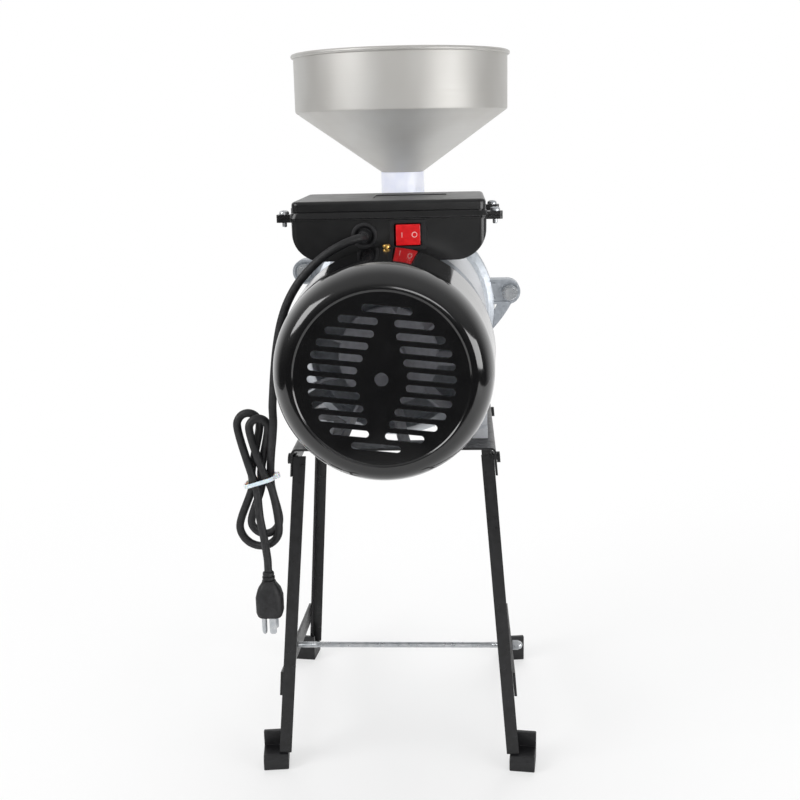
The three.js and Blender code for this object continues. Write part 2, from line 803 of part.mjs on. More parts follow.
// Ear plate with a sunk pocket, a boss round the bolt and an I-shaped rib
function castEar(x, z, rearY, frontY) {
  const [boltX, boltZ] = earBoltPlace(x);
  const plate = prismY(earOutline(x, z, 0), rearY, frontY, 5);
  const floor = rearY + earPocketDepth;
  const boss = rodY(earBossRadius, rearY - overrun, floor, pinSides, boltX, boltZ);
  const side = Math.sign(x);
  const ribX = side * (flangeRadius - earBorder);
  const web = block(ribX - earRib / 2, ribX + earRib / 2, rearY - overrun, floor,
    z - earHalfHeight + earBorder * 2, z + earHalfHeight - earBorder * 2);
  const bars = [-1, 1].map((up) => {
    const zBar = z + up * (earHalfHeight - earBorder * 2);
    return block(ribX - earRib * 2, ribX + earRib * 2, rearY - overrun, floor,
      zBar - earRib / 2, zBar + earRib / 2);
  });
  const pocket = cut(prismY(earOutline(x, z, earBorder), rearY - overrun, floor, 4), boss, web, ...bars);
  const way = rodY(earBoltRadius + screwGap, rearY - overrun, frontY + overrun, pinSides, boltX, boltZ);
  return cut(plate, pocket, way);
}

// Mill housing: turned body, two ears and a square spout under the burrs
function buildHousing() {
  const rearY = shellFrontY + seatGap;
  const seat = frontBearingRadius + seatGap;
  const seatEndY = frontBearingY + frontBearingWidth + seatGap;
  const flangeRearY = flangeBackY - flangeThick;
  const beadY = (rearY + flangeRearY) / 2 + housingLip;
  const shaftHole = shaftFrontRadius + chamberShaftGap;
  const [ringShare, grooveShare, beadShare] = housingRingShares;
  const body = turnedY([
    [seat, rearY], [shellRadius, rearY], [shellRadius, rearY + housingLip * ringShare],
    [housingGroove, rearY + housingLip * grooveShare], [housingGroove, beadY - housingLip * beadShare],
    [housingBead - housingBeadRound, beadY - housingLip / ringShare], [housingBead, beadY],
    [housingBead - housingBeadRound, beadY + housingLip / ringShare], [housingWaist, beadY + housingLip * beadShare],
    [flangeRadius - housingLip / 2, flangeRearY - housingLip / 2], [flangeRadius, flangeRearY],
    [flangeRadius, flangeBackY], [chamberRadius, flangeBackY], [chamberRadius, chamberRearY],
    [shaftHole, chamberRearY], [shaftHole, seatEndY], [seat, seatEndY], [seat, rearY],
  ], bigSides);
  const earRearY = flangeBackY - earThick;
  const chamber = rodY(chamberRadius, chamberRearY, flangeBackY + overrun, bigSides);
  const ears = [castEar(earRightX, earRightZ, earRearY, flangeBackY),
    castEar(earLeftX, earLeftZ, earRearY, flangeBackY)].map((ear) => cut(ear, chamber));
  const duct = block(-spoutHalfWidth, spoutHalfWidth, spoutRearY - spoutWall, flangeBackY, -spoutDrop, 0);
  const bore = block(spoutWall - spoutHalfWidth, spoutHalfWidth - spoutWall, spoutRearY,
    flangeBackY - spoutWall, -spoutDrop - overrun, 0);
  const spout = cut(duct, rodY(chamberRadius, 0, flangeBackY + overrun, bigSides));
  add('mill_housing', cut(join(body, ...ears, spout), bore), 'castAluminium');
}

// Ear bolts with their washers stay in the housing, and the nuts come off with the cover.
function buildEarFasteners() {
  const coverFrontY = flangeBackY + seatGap + coverPlate;
  for (const [side, label] of [[1, 'right'], [-1, 'left']]) {
    const [x, z] = earBoltPlace(side);
    const faceY = flangeBackY - earThick - seatGap;
    const washer = rodY(earWasherRadius, faceY - earWasherThick, faceY, lowSides, x, z);
    const headY = faceY - earWasherThick;
    const head = moved(prismY(hexagon(earBoltHeadRadius), headY - earBoltHead, headY), x, 0, z);
    const shank = rodY(earBoltRadius, headY - overrun / 2, faceY + earBoltLength, pinSides, x, z);
    add(`ear_bolt_${label}`, join(washer, head, shank), 'zinc');
    const nut = moved(prismY(hexagon(earBoltHeadRadius), coverFrontY + seatGap,
      coverFrontY + seatGap + earNutThick), x, 0, z);
    const bore = rodY(earBoltRadius + seatGap, coverFrontY, coverFrontY + earNutThick + overrun,
      pinSides, x, z);
    add(`ear_nut_${label}`, cut(nut, bore), 'zinc');
  }
}

// Curved stay from the cover's right ear down to the cover's rim
function coverStay(rearY, frontY) {
  const low = -earHalfHeight * stayDropShare;
  const foot = flangeRadius - stayThick * stayFootShare;
  const [outerShare, innerShare] = stayRootShares;
  const shape = new THREE.Shape();
  shape.moveTo(earRightX + earHalfHeight * outerShare, earRightZ);
  shape.quadraticCurveTo(earRightX + earHalfHeight / 4, low / 4, foot, low - stayThick / 2);
  shape.lineTo(foot - stayThick, low + stayThick);
  shape.quadraticCurveTo(earRightX - earHalfHeight / innerShare, low / 4, earRightX - earHalfHeight / 2, earRightZ);
  shape.closePath();
  return prismY(shape, rearY, frontY, 5);
}

// Front cover: plate, feed throat, inlet neck with a cup for the tube, ribs, boss
function buildFrontCover() {
  const rearY = flangeBackY + seatGap;
  const frontY = rearY + coverPlate;
  const endY = throatFrontY;
  const plate = rodY(flangeRadius, rearY, frontY, bigSides);
  const throat = rodY(throatRadius, rearY, endY, midSides);
  const boss = rodY(bossRadius, endY - overrun, endY + bossLength);
  const neck = turnedZ([
    [0, 0], [neckRadius, 0], [neckRadius, neckCupFloor - neckCupRadius / 4],
    [neckCupRadius, neckCupFloor], [neckCupRadius, neckCupTop], [0, neckCupTop],
  ], midSides, 0, hopperY);
  const ribs = [];
  const [rimShare, slopeShare] = coverRibShares;
  for (let i = 0; i < coverRibs; i += 1) {
    const reach = flangeRadius - coverPlate * rimShare;
    const outline = polygon([[throatRadius - overrun, rearY], [reach, rearY], [reach, frontY],
      [throatRadius - overrun, frontY + (endY - frontY) * slopeShare]]);
    const rib = prismZ(outline, -coverRibThick / 2, coverRibThick / 2);
    ribs.push(rib.rotate([0, (360 * (i + 0.5)) / coverRibs, 0]));
  }
  const ears = [[earRightX, earRightZ], [earLeftX, earLeftZ]].map(([x, z]) => {
    const [boltX, boltZ] = earBoltPlace(x);
    const flat = prismY(earOutline(x, z, 0), rearY, frontY, 5);
    return cut(flat, rodY(earBoltRadius + screwGap, rearY - overrun, frontY + overrun, pinSides, boltX, boltZ));
  });
  const [stayX, stayZ] = earBoltPlace(1);
  const stay = cut(coverStay(rearY, frontY),
    rodY(earBoltHeadRadius + screwGap, rearY - overrun, frontY + overrun, pinSides, stayX, stayZ));
  const throatHole = rodY(throatBore, rearY - overrun, endY - throatEndWall, midSides);
  const neckHole = rodZ(neckBore, 0, neckCupTop + overrun, midSides, 0, hopperY);
  const cup = rodZ(tubeRadius + seatGap, neckCupFloor, neckCupTop + overrun, midSides, 0, hopperY);
  const screwHole = rodY(adjustRadius + seatGap, endY - throatEndWall - overrun, endY + bossLength + overrun);
  const half = gateThick / 2 + gateRoom;
  const slotReach = gateWidth / 2 + gateRoom;
  const gateSlot = block(-gateWidth / 2 - gateRoom, neckCupRadius + overrun, hopperY - slotReach,
    hopperY + slotReach, gateZ - half, gateZ + half);
  const shell = join(plate, throat, boss, neck, ...ribs, ...ears, stay);
  add('front_cover', cut(shell, throatHole, neckHole, cup, screwHole, gateSlot), 'castAluminium');
}

// Burrs with leaning furrows cut in the faces that meet
function furrows(y0, y1, lean, innerRadius) {
  const cuts = [];
  for (let i = 0; i < burrFurrows; i += 1) {
    const furrow = block(innerRadius, burrRadius + overrun, y0, y1,
      lean - furrowWidth / 2, lean + furrowWidth / 2);
    cuts.push(furrow.rotate([0, (360 * i) / burrFurrows, 0]));
  }
  return cuts;
}

function buildBurrs() {
  const fixedRing = turnedY([
    [throatBore, fixedBurrRearY], [burrRadius, fixedBurrRearY], [burrRadius, fixedBurrFrontY - seatGap],
    [throatBore, fixedBurrFrontY - seatGap], [throatBore, fixedBurrRearY],
  ], bigSides);
  add('fixed_burr', cut(fixedRing, ...furrows(fixedBurrRearY - overrun, fixedBurrRearY + furrowDepth,
    furrowLean, throatBore + furrowWidth)), 'castIron');
  const bore = shaftFrontRadius + seatGap;
  const disc = turnedY([
    [bore, spinBurrRearY], [burrRadius, spinBurrRearY], [burrRadius, spinBurrFrontY],
    [bore, spinBurrFrontY], [bore, spinBurrRearY],
  ], bigSides);
  add('rotating_burr', cut(disc, ...furrows(spinBurrFrontY - furrowDepth, spinBurrFrontY + overrun,
    furrowLean, throatBore + furrowWidth)), 'castIron');
}

// Feed screw: a core with one helical flight of even pitch
function buildAuger() {
  const turns = (augerFrontY - augerRearY - augerFlight) / augerPitch;
  const steps = Math.round(turns * augerStepsPerTurn);
  const rootRadius = augerCore - overrun / 2;
  const positions = [];
  const indices = [];
  for (let i = 0; i <= steps; i += 1) {
    const share = i / steps;
    const angle = share * turns * 2 * Math.PI;
    const y = augerRearY + share * turns * augerPitch;
    const section = [[rootRadius, 0], [augerRadius, 0], [augerRadius, augerFlight], [rootRadius, augerFlight]];
    for (const [r, dy] of section) {
      positions.push(r * Math.cos(angle), y + dy, r * Math.sin(angle));
    }
    if (i === steps) continue;
    for (let k = 0; k < 4; k += 1) {
      const p = 4 * i + k;
      const q = 4 * i + ((k + 1) % 4);
      indices.push(p, q, q + 4, p, q + 4, p + 4);
    }
  }
  const last = 4 * steps;
  indices.push(0, 2, 1, 0, 3, 2, last, last + 1, last + 2, last, last + 2, last + 3);
  const ribbon = new THREE.BufferGeometry();
  ribbon.setAttribute('position', new THREE.Float32BufferAttribute(positions, 3));
  ribbon.setIndex(indices);
  const core = rodY(augerCore, augerRearY, augerFrontY, pinSides);
  const bore = rodY(shaftTailRadius + seatGap, augerRearY - overrun, augerFrontY + overrun);
  add('feed_auger', cut(join(core, solid(ribbon)), bore), 'castIron');
}

// Thrust pad at the shaft's end, its adjusting screw, and the lock nut and knob outside
function buildAdjuster() {
  const bossFrontY = throatFrontY + bossLength;
  const socketY = padFrontY - padSocketDepth;
  const screwFrontY = knobRearY + knobThick;
  const pad = rodY(padDiscRadius, padRearY, padFrontY, midSides);
  add('thrust_pad', cut(pad, rodY(adjustRadius + seatGap, socketY, padFrontY + overrun)), 'steel');
  add('adjusting_screw', rodY(adjustRadius, socketY + seatGap, screwFrontY), 'zinc');
  const nut = prismY(hexagon(lockNutRadius), bossFrontY + seatGap, bossFrontY + seatGap + lockNutThick);
  add('lock_nut', cut(nut, rodY(adjustRadius + seatGap, bossFrontY, bossFrontY + lockNutThick + overrun)), 'zinc');
  const body = turnedY([
    [0, knobRearY - knobThick / 4], [knobHubRadius, knobRearY - knobThick / 4], [knobHubRadius, knobRearY],
    [knobRadius - knobLobeRadius, knobRearY], [knobRadius - knobLobeRadius, knobRearY + knobThick * knobBodyShare],
    [knobHubRadius, knobRearY + knobThick], [knobHubRadius, knobRearY + knobThick + knobThick / 4],
    [0, knobRearY + knobThick + knobThick / 4],
  ], lowSides);
  const lobes = [];
  for (let i = 0; i < knobLobes; i += 1) {
    const angle = (2 * Math.PI * i) / knobLobes;
    const reach = knobRadius - knobLobeRadius;
    lobes.push(rodY(knobLobeRadius, knobRearY, knobRearY + knobThick * knobBodyShare, pinSides,
      reach * Math.cos(angle), reach * Math.sin(angle)));
  }
  const bore = rodY(adjustRadius + seatGap, knobRearY - knobThick, screwFrontY + seatGap);
  add('adjusting_knob', cut(join(body, ...lobes), bore), 'blackPlastic');
}

// Hopper: spigot, cone, band and rolled rim as one thin wall
function buildHopper() {
  const spigot = tubeRadius - tubeWall - seatGap;
  const slopeDrop = hopperWall * hopperSlopeShare;
  const [turnShare, startShare] = hopperRollShares;
  const roll = [];
  const rollCentreR = hopperRadius + hopperRollRadius / 2;
  const rollCentreZ = hopperRimZ;
  const rollSteps = 4;
  for (let i = 0; i <= rollSteps; i += 1) {
    const angle = Math.PI * ((turnShare * i) / rollSteps - startShare);
    roll.push([rollCentreR + hopperRollRadius * Math.cos(angle),
      rollCentreZ + hopperRollRadius * Math.sin(angle)]);
  }
  const spigotEnd = hopperNeckZ - hopperSpigotLength;
  add('hopper', turnedZ([
    [spigot, spigotEnd], [spigot, hopperNeckZ + seatGap], [tubeRadius - seatGap, hopperNeckZ + seatGap],
    [hopperRadius, hopperBandZ], ...roll,
    [hopperRadius - hopperWall, hopperRimZ - hopperRollRadius],
    [hopperRadius - hopperWall, hopperBandZ + slopeDrop / 3],
    [spigot - hopperWall, hopperNeckZ + slopeDrop], [spigot - hopperWall, spigotEnd], [spigot, spigotEnd],
  ], bigSides, 0, hopperY), 'stainless');

  const tubeBottom = neckCupFloor + seatGap;
  add('feed_tube', turnedZ([
    [tubeRadius - tubeWall, tubeBottom], [tubeRadius, tubeBottom], [tubeRadius, hopperNeckZ],
    [tubeRadius - tubeWall, hopperNeckZ], [tubeRadius - tubeWall, tubeBottom],
  ], midSides, 0, hopperY), 'white');

  const half = gateThick / 2;
  const plateEnd = neckRadius + gateTab;
  const plate = block(-gateWidth / 2, plateEnd, hopperY - gateWidth / 2, hopperY + gateWidth / 2,
    gateZ - half, gateZ + half);
  const tab = block(plateEnd - gateThick, plateEnd, hopperY - gateWidth / 2, hopperY + gateWidth / 2,
    gateZ - half, gateZ - half + gateTabRise);
  add('feed_gate', join(plate, tab), 'stainless');
}

// Switch box: a deep tray with round bottom corners, saddled over the motor
function boxOutline(inset) {
  const x = boxHalfWidth - inset;
  const low = boxBottomZ + inset;
  const radius = boxCornerRadius - inset;
  const top = boxRimZ + (inset > 0 ? overrun : 0);
  const shape = new THREE.Shape();
  shape.moveTo(-x, top);
  shape.lineTo(-x, low + radius);
  shape.absarc(radius - x, low + radius, radius, Math.PI, 1.5 * Math.PI, false);
  shape.lineTo(x - radius, low);
  shape.absarc(x - radius, low + radius, radius, -Math.PI / 2, 0, false);
  shape.lineTo(x, top);
  shape.closePath();
  return shape;
}

function lugPlaces() {
  const places = [];
  for (const [side, hand] of [[-1, 'left'], [1, 'right']]) {
    places.push([side, boxNearY + lugInset, `near_${hand}`]);
    places.push([side, boxFarY - lugInset, `far_${hand}`]);
  }
  return places;
}

function lugs(z0, z1, rootX) {
  return lugPlaces().map(([side, y]) => {
    const x0 = side < 0 ? -lugReach : rootX;
    const x1 = side < 0 ? -rootX : lugReach;
    const ear = prismZ(roundedRect(x0, x1, y - lugHalfWidth, y + lugHalfWidth, lugHalfWidth / 2), z0, z1, 2);
    return cut(ear, rodZ(lidScrewRadius + screwGap, z0 - overrun, z1 + overrun, pinSides, side * lidScrewX, y));
  });
}

// The box sits over the motor's end cone and shell with this much room.
function saddleSolid(room) {
  const radius = shellRadius + room;
  const slope = (shellRadius - shieldRimRadius) / (shellRearY - shieldRimY);
  const nearRadius = radius - slope * (shellRearY - boxNearY + overrun);
  return turnedY([
    [0, boxNearY - overrun], [nearRadius, boxNearY - overrun], [radius, shellRearY],
    [radius, boxFarY + overrun], [0, boxFarY + overrun],
  ], bigSides);
}

function buildSwitchBox() {
  const planOuter = prismZ(roundedRect(-boxHalfWidth, boxHalfWidth, boxNearY, boxFarY, boxPlanRadius),
    boxBottomZ - overrun, boxRimZ);
  const wall = boxWall;
  const planInner = prismZ(roundedRect(wall - boxHalfWidth, boxHalfWidth - wall, boxNearY + wall,
    boxFarY - wall, boxPlanRadius - wall), boxBottomZ - overrun, boxRimZ + overrun);
  const outer = prismY(boxOutline(0), boxNearY, boxFarY, 5).intersect(planOuter);
  const room = prismY(boxOutline(wall), boxNearY, boxFarY, 4).intersect(planInner);
  const shellSpace = saddleSolid(seatGap);
  const raised = saddleSolid(seatGap + wall);
  const rimLow = boxRimZ - boxRimThick;
  const rim = prismZ(roundedRect(-boxRimHalfWidth, boxRimHalfWidth, boxNearY - lidStep, boxFarY + lidStep,
    boxPlanRadius), rimLow, boxRimZ);
  const body = cut(join(outer, rim), shellSpace, cut(room, raised));
  const switchHole = block(switchX - switchBodyWidth / 2 - seatGap, switchX + switchBodyWidth / 2 + seatGap,
    boxNearY - overrun, boxNearY + wall + overrun,
    switchZ - switchBodyHeight / 2 - seatGap, switchZ + switchBodyHeight / 2 + seatGap);
  const cordHole = rodY(grommetWaistRadius + seatGap, boxNearY - overrun, boxNearY + wall + overrun,
    lowSides, grommetX, grommetZ);
  add('switch_box', cut(join(body, ...lugs(boxRimZ - lugThick, boxRimZ, boxHalfWidth)), switchHole, cordHole),
    'blackPlastic');

  const lidLow = boxRimZ + seatGap;
  const bandTop = lidLow + lidBandHeight;
  const band = prismZ(roundedRect(-boxRimHalfWidth, boxRimHalfWidth, boxNearY - lidStep, boxFarY + lidStep,
    boxPlanRadius), lidLow, bandTop);
  const top = (inset, z0, z1) => prismZ(roundedRect(inset - boxRimHalfWidth, boxRimHalfWidth - inset,
    boxNearY - lidStep + inset, boxFarY + lidStep - inset, boxPlanRadius), z0, z1);
  const crown = new THREE.ExtrudeGeometry(roundedRect(lidStep + lidEdge - boxRimHalfWidth,
    boxRimHalfWidth - lidStep - lidEdge, boxNearY + lidEdge, boxFarY - lidEdge, boxPlanRadius), {
    depth: lidTopZ - bandTop, bevelEnabled: true, bevelThickness: lidEdge, bevelSize: lidEdge,
    bevelSegments: 2, curveSegments: 3,
  });
  const cap = solid(crown.translate(0, 0, bandTop - lidEdge)).intersect(
    block(-lugReach, lugReach, 0, boxFarY * 2, bandTop, lidTopZ));
  const hollow = top(lidWall + lidStep, lidLow - overrun, lidTopZ - lidWall);
  const panel = prismZ(roundedRect(switchX - lidPanelWidth / 2, switchX + lidPanelWidth / 2,
    (boxNearY + boxFarY - lidPanelDepth) / 2, (boxNearY + boxFarY + lidPanelDepth) / 2, lidPanelRadius),
  lidTopZ - lidPanelSink, lidTopZ + overrun, 3);
  add('box_lid', cut(join(band, cap, ...lugs(lidLow, lidLow + lugThick, boxHalfWidth)), hollow, panel),
    'blackPlastic');

  const headLow = lidLow + lugThick + seatGap;
  for (const [side, y, label] of lugPlaces()) {
    const head = turnedZ([
      [0, headLow], [lidScrewHeadRadius, headLow], [lidScrewHeadRadius, headLow + lidScrewHeadHeight / 2],
      [lidScrewHeadRadius * lidScrewCrownShare, headLow + lidScrewHeadHeight], [0, headLow + lidScrewHeadHeight],
    ], pinSides, side * lidScrewX, y);
    const shank = rodZ(lidScrewRadius, boxRimZ - lugThick - lidScrewTail, headLow + overrun / 2, pinSides,
      side * lidScrewX, y);
    add(`lid_screw_${label}`, join(head, shank), 'zinc');
  }

  // The capacitor lies on the box's floor, or on the saddle's wall where that is higher.
  const restZ = boxBottomZ + boxWall + seatGap + capacitorRadius;
  const saddleReach = shellRadius + seatGap + boxWall + seatGap + capacitorRadius;
  const centreZ = Math.max(restZ, Math.sqrt(saddleReach ** 2 - capacitorX ** 2));
  const nearY = (boxNearY + boxFarY - capacitorLength) / 2;
  add('capacitor', turnedY([
    [0, nearY], [capacitorRadius - capacitorRim, nearY], [capacitorRadius, nearY + capacitorRim],
    [capacitorRadius, nearY + capacitorLength - capacitorRim],
    [capacitorRadius - capacitorRim, nearY + capacitorLength], [0, nearY + capacitorLength],
  ], lowSides, capacitorX, centreZ), 'white');
}

// Rocker switch: a bezel with its body through the wall, and a rocker that tips sideways
function buildSwitch() {
  const faceY = boxNearY - seatGap;
  const bezel = block(switchX - bezelWidth / 2, switchX + bezelWidth / 2, faceY - bezelProud, faceY,
    switchZ - bezelHeight / 2, switchZ + bezelHeight / 2);
  const body = block(switchX - switchBodyWidth / 2, switchX + switchBodyWidth / 2, faceY - overrun / 2,
    faceY + switchBodyDepth, switchZ - switchBodyHeight / 2, switchZ + switchBodyHeight / 2);
  const roomX = rockerWidth / 2 + rockerGap;
  const roomZ = rockerHeight / 2 + rockerGap;
  const cavity = block(switchX - roomX, switchX + roomX, faceY - bezelProud - overrun,
    faceY + switchCavityDepth, switchZ - roomZ, switchZ + roomZ);
  add('switch_bezel', cut(join(bezel, body), cavity), 'satinBlack');
  const half = rockerWidth / 2;
  const pivotY = faceY - bezelProud / 2;
  const outline = polygon([
    [switchX - half * rockerProudShare, pivotY - rockerRise], [switchX, pivotY - rockerRidge],
    [switchX + half, pivotY - rockerDip],
    [switchX + half * rockerFlankShare, pivotY + rockerKeel / 2], [switchX, pivotY + rockerKeel],
    [switchX - half * rockerFlankShare, pivotY + rockerKeel / 2],
  ]);
  add('switch_rocker', prismZ(outline, switchZ - rockerHeight / 2, switchZ + rockerHeight / 2), 'red');
}

// Grommet: outer flange with a tapered nose, a waist in the wall and an inner flange
const grommetNoseY = boxNearY - grommetLength;

function buildGrommet() {
  const outFaceY = boxNearY - seatGap;
  const inFaceY = boxNearY + boxWall + seatGap;
  const [ringShare, noseShare, innerShare] = grommetRingShares;
  add('cord_grommet', turnedY([
    [0, grommetNoseY], [grommetNoseRadius, grommetNoseY],
    [grommetRadius * ringShare, outFaceY - grommetFlange * noseShare], [grommetRadius, outFaceY - grommetFlange],
    [grommetRadius, outFaceY], [grommetWaistRadius, outFaceY], [grommetWaistRadius, inFaceY],
    [grommetRadius, inFaceY], [grommetRadius * innerShare, inFaceY + grommetFlange], [0, inFaceY + grommetFlange],
  ], lowSides, grommetX, grommetZ), 'blackRubber');
}

// Cord
// The free lead leaves the grommet, lies over the fan cover's skirt and hangs down.
const leadRoute = [
  [-20.8, 115.7, 99.5], [-20.8, 109.5, 99.5], [-24, 102.6, 99.6], [-35.8, 98.4, 95.6], [-51, 97.2, 87.2],
  [-64.2, 97, 76], [-75.6, 97.4, 63.4], [-85.6, 98.6, 47], [-92.6, 100.6, 29], [-97.6, 103, 8],
  [-101.2, 106, -14], [-104, 109, -36], [-105.2, 110, -48], [-105.2, 110, -56],
];
// The hank's own first stretch goes on from there into the waist.
const hankLeadRoute = [
  [-105.2, 110, -56.3], [-105.2, 110, -62], [-106.6, 110.2, -76], [-109.6, 116.5, -92],
];
// The hank hangs from the lead: five strands pass its tied waist in two layers.
// They are joined by four bights, in the order bottom, top, bottom, top.
const hankFarY = 126;
const waistX = -121.6;
const waistZ = -119.5;
const waistStraight = 6.5;
const waistLean = 3;
const columnStep = 8.4;
const layerStep = 8.8;
const strandColumnShares = [1.05, 0, 0.9, -1.02, -0.6];
const strandLayerShares = [0, 0, 1.04, 0, 1.04];
const strandLeanShares = [0, 0, 1, 0, 0.6];
const bightCentreXs = [-119.4, -120.2, -125, -130.6];
const bightCentreZs = [-158.5, -69, -164.5, -68];
const bightHalfWidths = [12.6, 8.2, 18.8, 10];
const bightHeights = [13.2, 8.6, 18.4, 11];
const bightStartLayerShares = [0, 0.7, 1, 0];
const bightEndLayerShares = [0.5, 1.15, 0, 0.3];
const bightSteps = 6;
const tailLayerShare = 2;
const tailRoute = [[-121.6, -150], [-118.6, -172]];

function layerY(share) {
  return hankFarY - share * layerStep;
}

function cordCurve(points) {
  return new THREE.CatmullRomCurve3(points.map(([x, y, z]) => new THREE.Vector3(x, y, z)), false, 'centripetal');
}

function cordTube(curve, sides, stepLength) {
  const section = new THREE.Shape();
  for (let i = 0; i < sides; i += 1) {
    const angle = (2 * Math.PI * (i + 0.5)) / sides;
    const u = (cordDiameter / 2) * Math.cos(angle);
    const v = (cordDiameter / 2) * Math.sin(angle);
    if (i === 0) section.moveTo(u, v);
    else section.lineTo(u, v);
  }
  section.closePath();
  const steps = Math.round(curve.getLength() / stepLength);
  return solid(new THREE.ExtrudeGeometry(section, { steps, extrudePath: curve, bevelEnabled: false }));
}

// One strand through the waist, from its top end down or back up
function strandPoints(k) {
  const x = waistX + strandColumnShares[k] * columnStep;
  const y = layerY(strandLayerShares[k]);
  const lean = strandLeanShares[k] * waistLean;
  const ends = [[x - lean, y, waistZ + waistStraight], [x + lean, y, waistZ - waistStraight]];
  return k % 2 === 0 ? ends : ends.reverse();
}

// One bight, from its right side round to its left side, changing layer on the way
function bightPoints(k) {
  const turn = k % 2 === 0 ? -Math.PI : Math.PI;
  const points = [];
  for (let i = 0; i <= bightSteps; i += 1) {
    const share = i / bightSteps;
    const layer = bightStartLayerShares[k] * (1 - share) + bightEndLayerShares[k] * share;
    points.push([bightCentreXs[k] + bightHalfWidths[k] * Math.cos(turn * share), layerY(layer),
      bightCentreZs[k] + bightHeights[k] * Math.sin(turn * share)]);
  }
  return points;
}

function hankPoints() {
  const points = [...hankLeadRoute];
  strandColumnShares.forEach((column, k) => {
    points.push(...strandPoints(k));
    if (k < bightCentreXs.length) points.push(...bightPoints(k));
  });
  const tailZ = plugTopZ + plugNeckLength + seatGap;
  points.push(...tailRoute.map(([x, z]) => [x, layerY(tailLayerShare), z]));
  points.push([plugX, plugY, tailZ + cordDiameter * cordStepShare], [plugX, plugY, tailZ + cordDiameter / 2],
    [plugX, plugY, tailZ]);
  return points;
}

// Least gap between parts of a tube that lie further apart along it than a few diameters
function leastGap(curve) {
  const count = Math.round(curve.getLength() / (cordDiameter / 3));
  const spots = curve.getSpacedPoints(count);
  const apart = 9;
  let least = Infinity;
  for (let i = 0; i < spots.length; i += 1) {
    for (let j = i + apart; j < spots.length; j += 1) {
      least = Math.min(least, spots[i].distanceTo(spots[j]));
    }
  }
  return least - cordDiameter;
}

function buildCord() {
  const lead = cordCurve(leadRoute);
  add('cord_lead', cordTube(lead, cordSides, cordDiameter * cordStepShare), 'blackRubber');
  const hank = cordCurve(hankPoints());
  add('cord_hank', cordTube(hank, hankSides, hankStepLength), 'blackRubber');
  console.log(`least gap of the hank to itself ${leastGap(hank).toFixed(2)} mm`);
  console.log(`cord length ${(lead.getLength() + hank.getLength()).toFixed(0)} mm`);
}

// Cable tie: a band round the tied waist, with its head at the right
function buildTie() {
  const spread = 1 / Math.cos((tieTiltDegrees * Math.PI) / 180);
  const inX = (columnStep * strandColumnShares[0] + cordDiameter / 2 + tieThick / 2) * spread;
  const inY = (layerStep + cordDiameter) / 2 + tieThick / 2;
  const corner = cordDiameter / 2 + tieThick / 2;
  const ring = (grow) => roundedRect(-inX - grow, inX + grow, -inY - grow, inY + grow, corner + grow);
  const band = cut(prismZ(ring(tieThick), -tieBand / 2, tieBand / 2, 3),
    prismZ(ring(0), -tieBand, tieBand, 3));
  const head = block(inX + tieThick / 2, inX + tieHead, -tieHead / 2, tieHead / 2, -tieHead / 2, tieHead / 2);
  const tilted = join(band, head).rotate([0, -tieTiltDegrees, 0]);
  add('cable_tie', moved(tilted, waistX, layerY(tieLayerShare), waistZ), 'white');
}

// Moulded plug with two blades and a round ground pin, hanging pins down
function buildPlug() {
  const bottom = plugTopZ - plugBodyLength;
  const half = plugWidth / 2;
  const [shoulderX, footX] = plugWidthShares.map((share) => share * plugWidth);
  const [shoulderDrop, widestDrop, footRise] = plugDropShares.map((share) => share * plugBodyLength);
  const [waistShare, waistRise, tipShare] = plugNeckShares;
  const side = polygon([
    [-plugNeckRadius, plugTopZ + overrun], [plugNeckRadius, plugTopZ + overrun],
    [shoulderX, plugTopZ - shoulderDrop], [half, plugTopZ - widestDrop],
    [half, bottom + footRise], [footX, bottom],
    [-footX, bottom], [-half, bottom + footRise],
    [-half, plugTopZ - widestDrop], [-shoulderX, plugTopZ - shoulderDrop],
  ]);
  const plan = roundedRect(-half, half, -plugDepth / 2, plugDepth / 2, plugDepth * plugCornerShare);
  const body = prismY(side, -plugDepth / 2, plugDepth / 2).intersect(prismZ(plan, bottom, plugTopZ + overrun));
  const neck = turnedZ([
    [0, plugTopZ - overrun], [plugNeckRadius, plugTopZ - overrun], [plugNeckRadius, plugTopZ + plugNeckLength / 4],
    [plugNeckRadius * waistShare, plugTopZ + plugNeckLength * waistRise],
    [plugNeckRadius, plugTopZ + plugNeckLength * waistShare],
    [plugNeckRadius * tipShare, plugTopZ + plugNeckLength],
    [0, plugTopZ + plugNeckLength],
  ], lowSides);
  const blades = [-1, 1].map((hand) => block(-bladeWidth / 2, bladeWidth / 2,
    hand * bladeSpread - bladeThick / 2, hand * bladeSpread + bladeThick / 2,
    bottom - bladeLength, bottom + overrun));
  const placedBlades = blades.map((blade) => moved(blade, groundPinOffset / 2, 0, 0));
  const ground = turnedZ([
    [0, bottom - groundPinLength], [groundPinRadius / 2, bottom - groundPinLength],
    [groundPinRadius, bottom - groundPinLength + groundPinRadius], [groundPinRadius, bottom + overrun],
    [0, bottom + overrun],
  ], pinSides, -groundPinOffset, 0);
  add('mains_plug', moved(join(body, neck, ...placedBlades, ground), plugX, plugY, 0), 'blackRubber');
}

// Stand
const floorZ = -axisHeight;
const trayTopZ = -motorSeatDrop - sheetGap;
const trayUnderZ = trayTopZ - traySheet;
const legTopZ = trayTopZ - trayFold - overrun;
const legBottomZ = floorZ + footSeat + seatGap;
const legTopX = trayHalfWidth - traySheet - seatGap;
const legFall = legTopZ - legBottomZ;

// Leans a piece so that it moves outwards by the splay over one leg's fall.
function splayed(piece, side, end) {
  const kx = (-side * legSplayX) / legFall;
  const ky = (-end * legSplayY) / legFall;
  const lean = [1, 0, 0, 0, 0, 1, 0, 0, kx, ky, 1, 0, -kx * legTopZ, -ky * legTopZ, 0, 1];
  return piece.transform(lean);
}

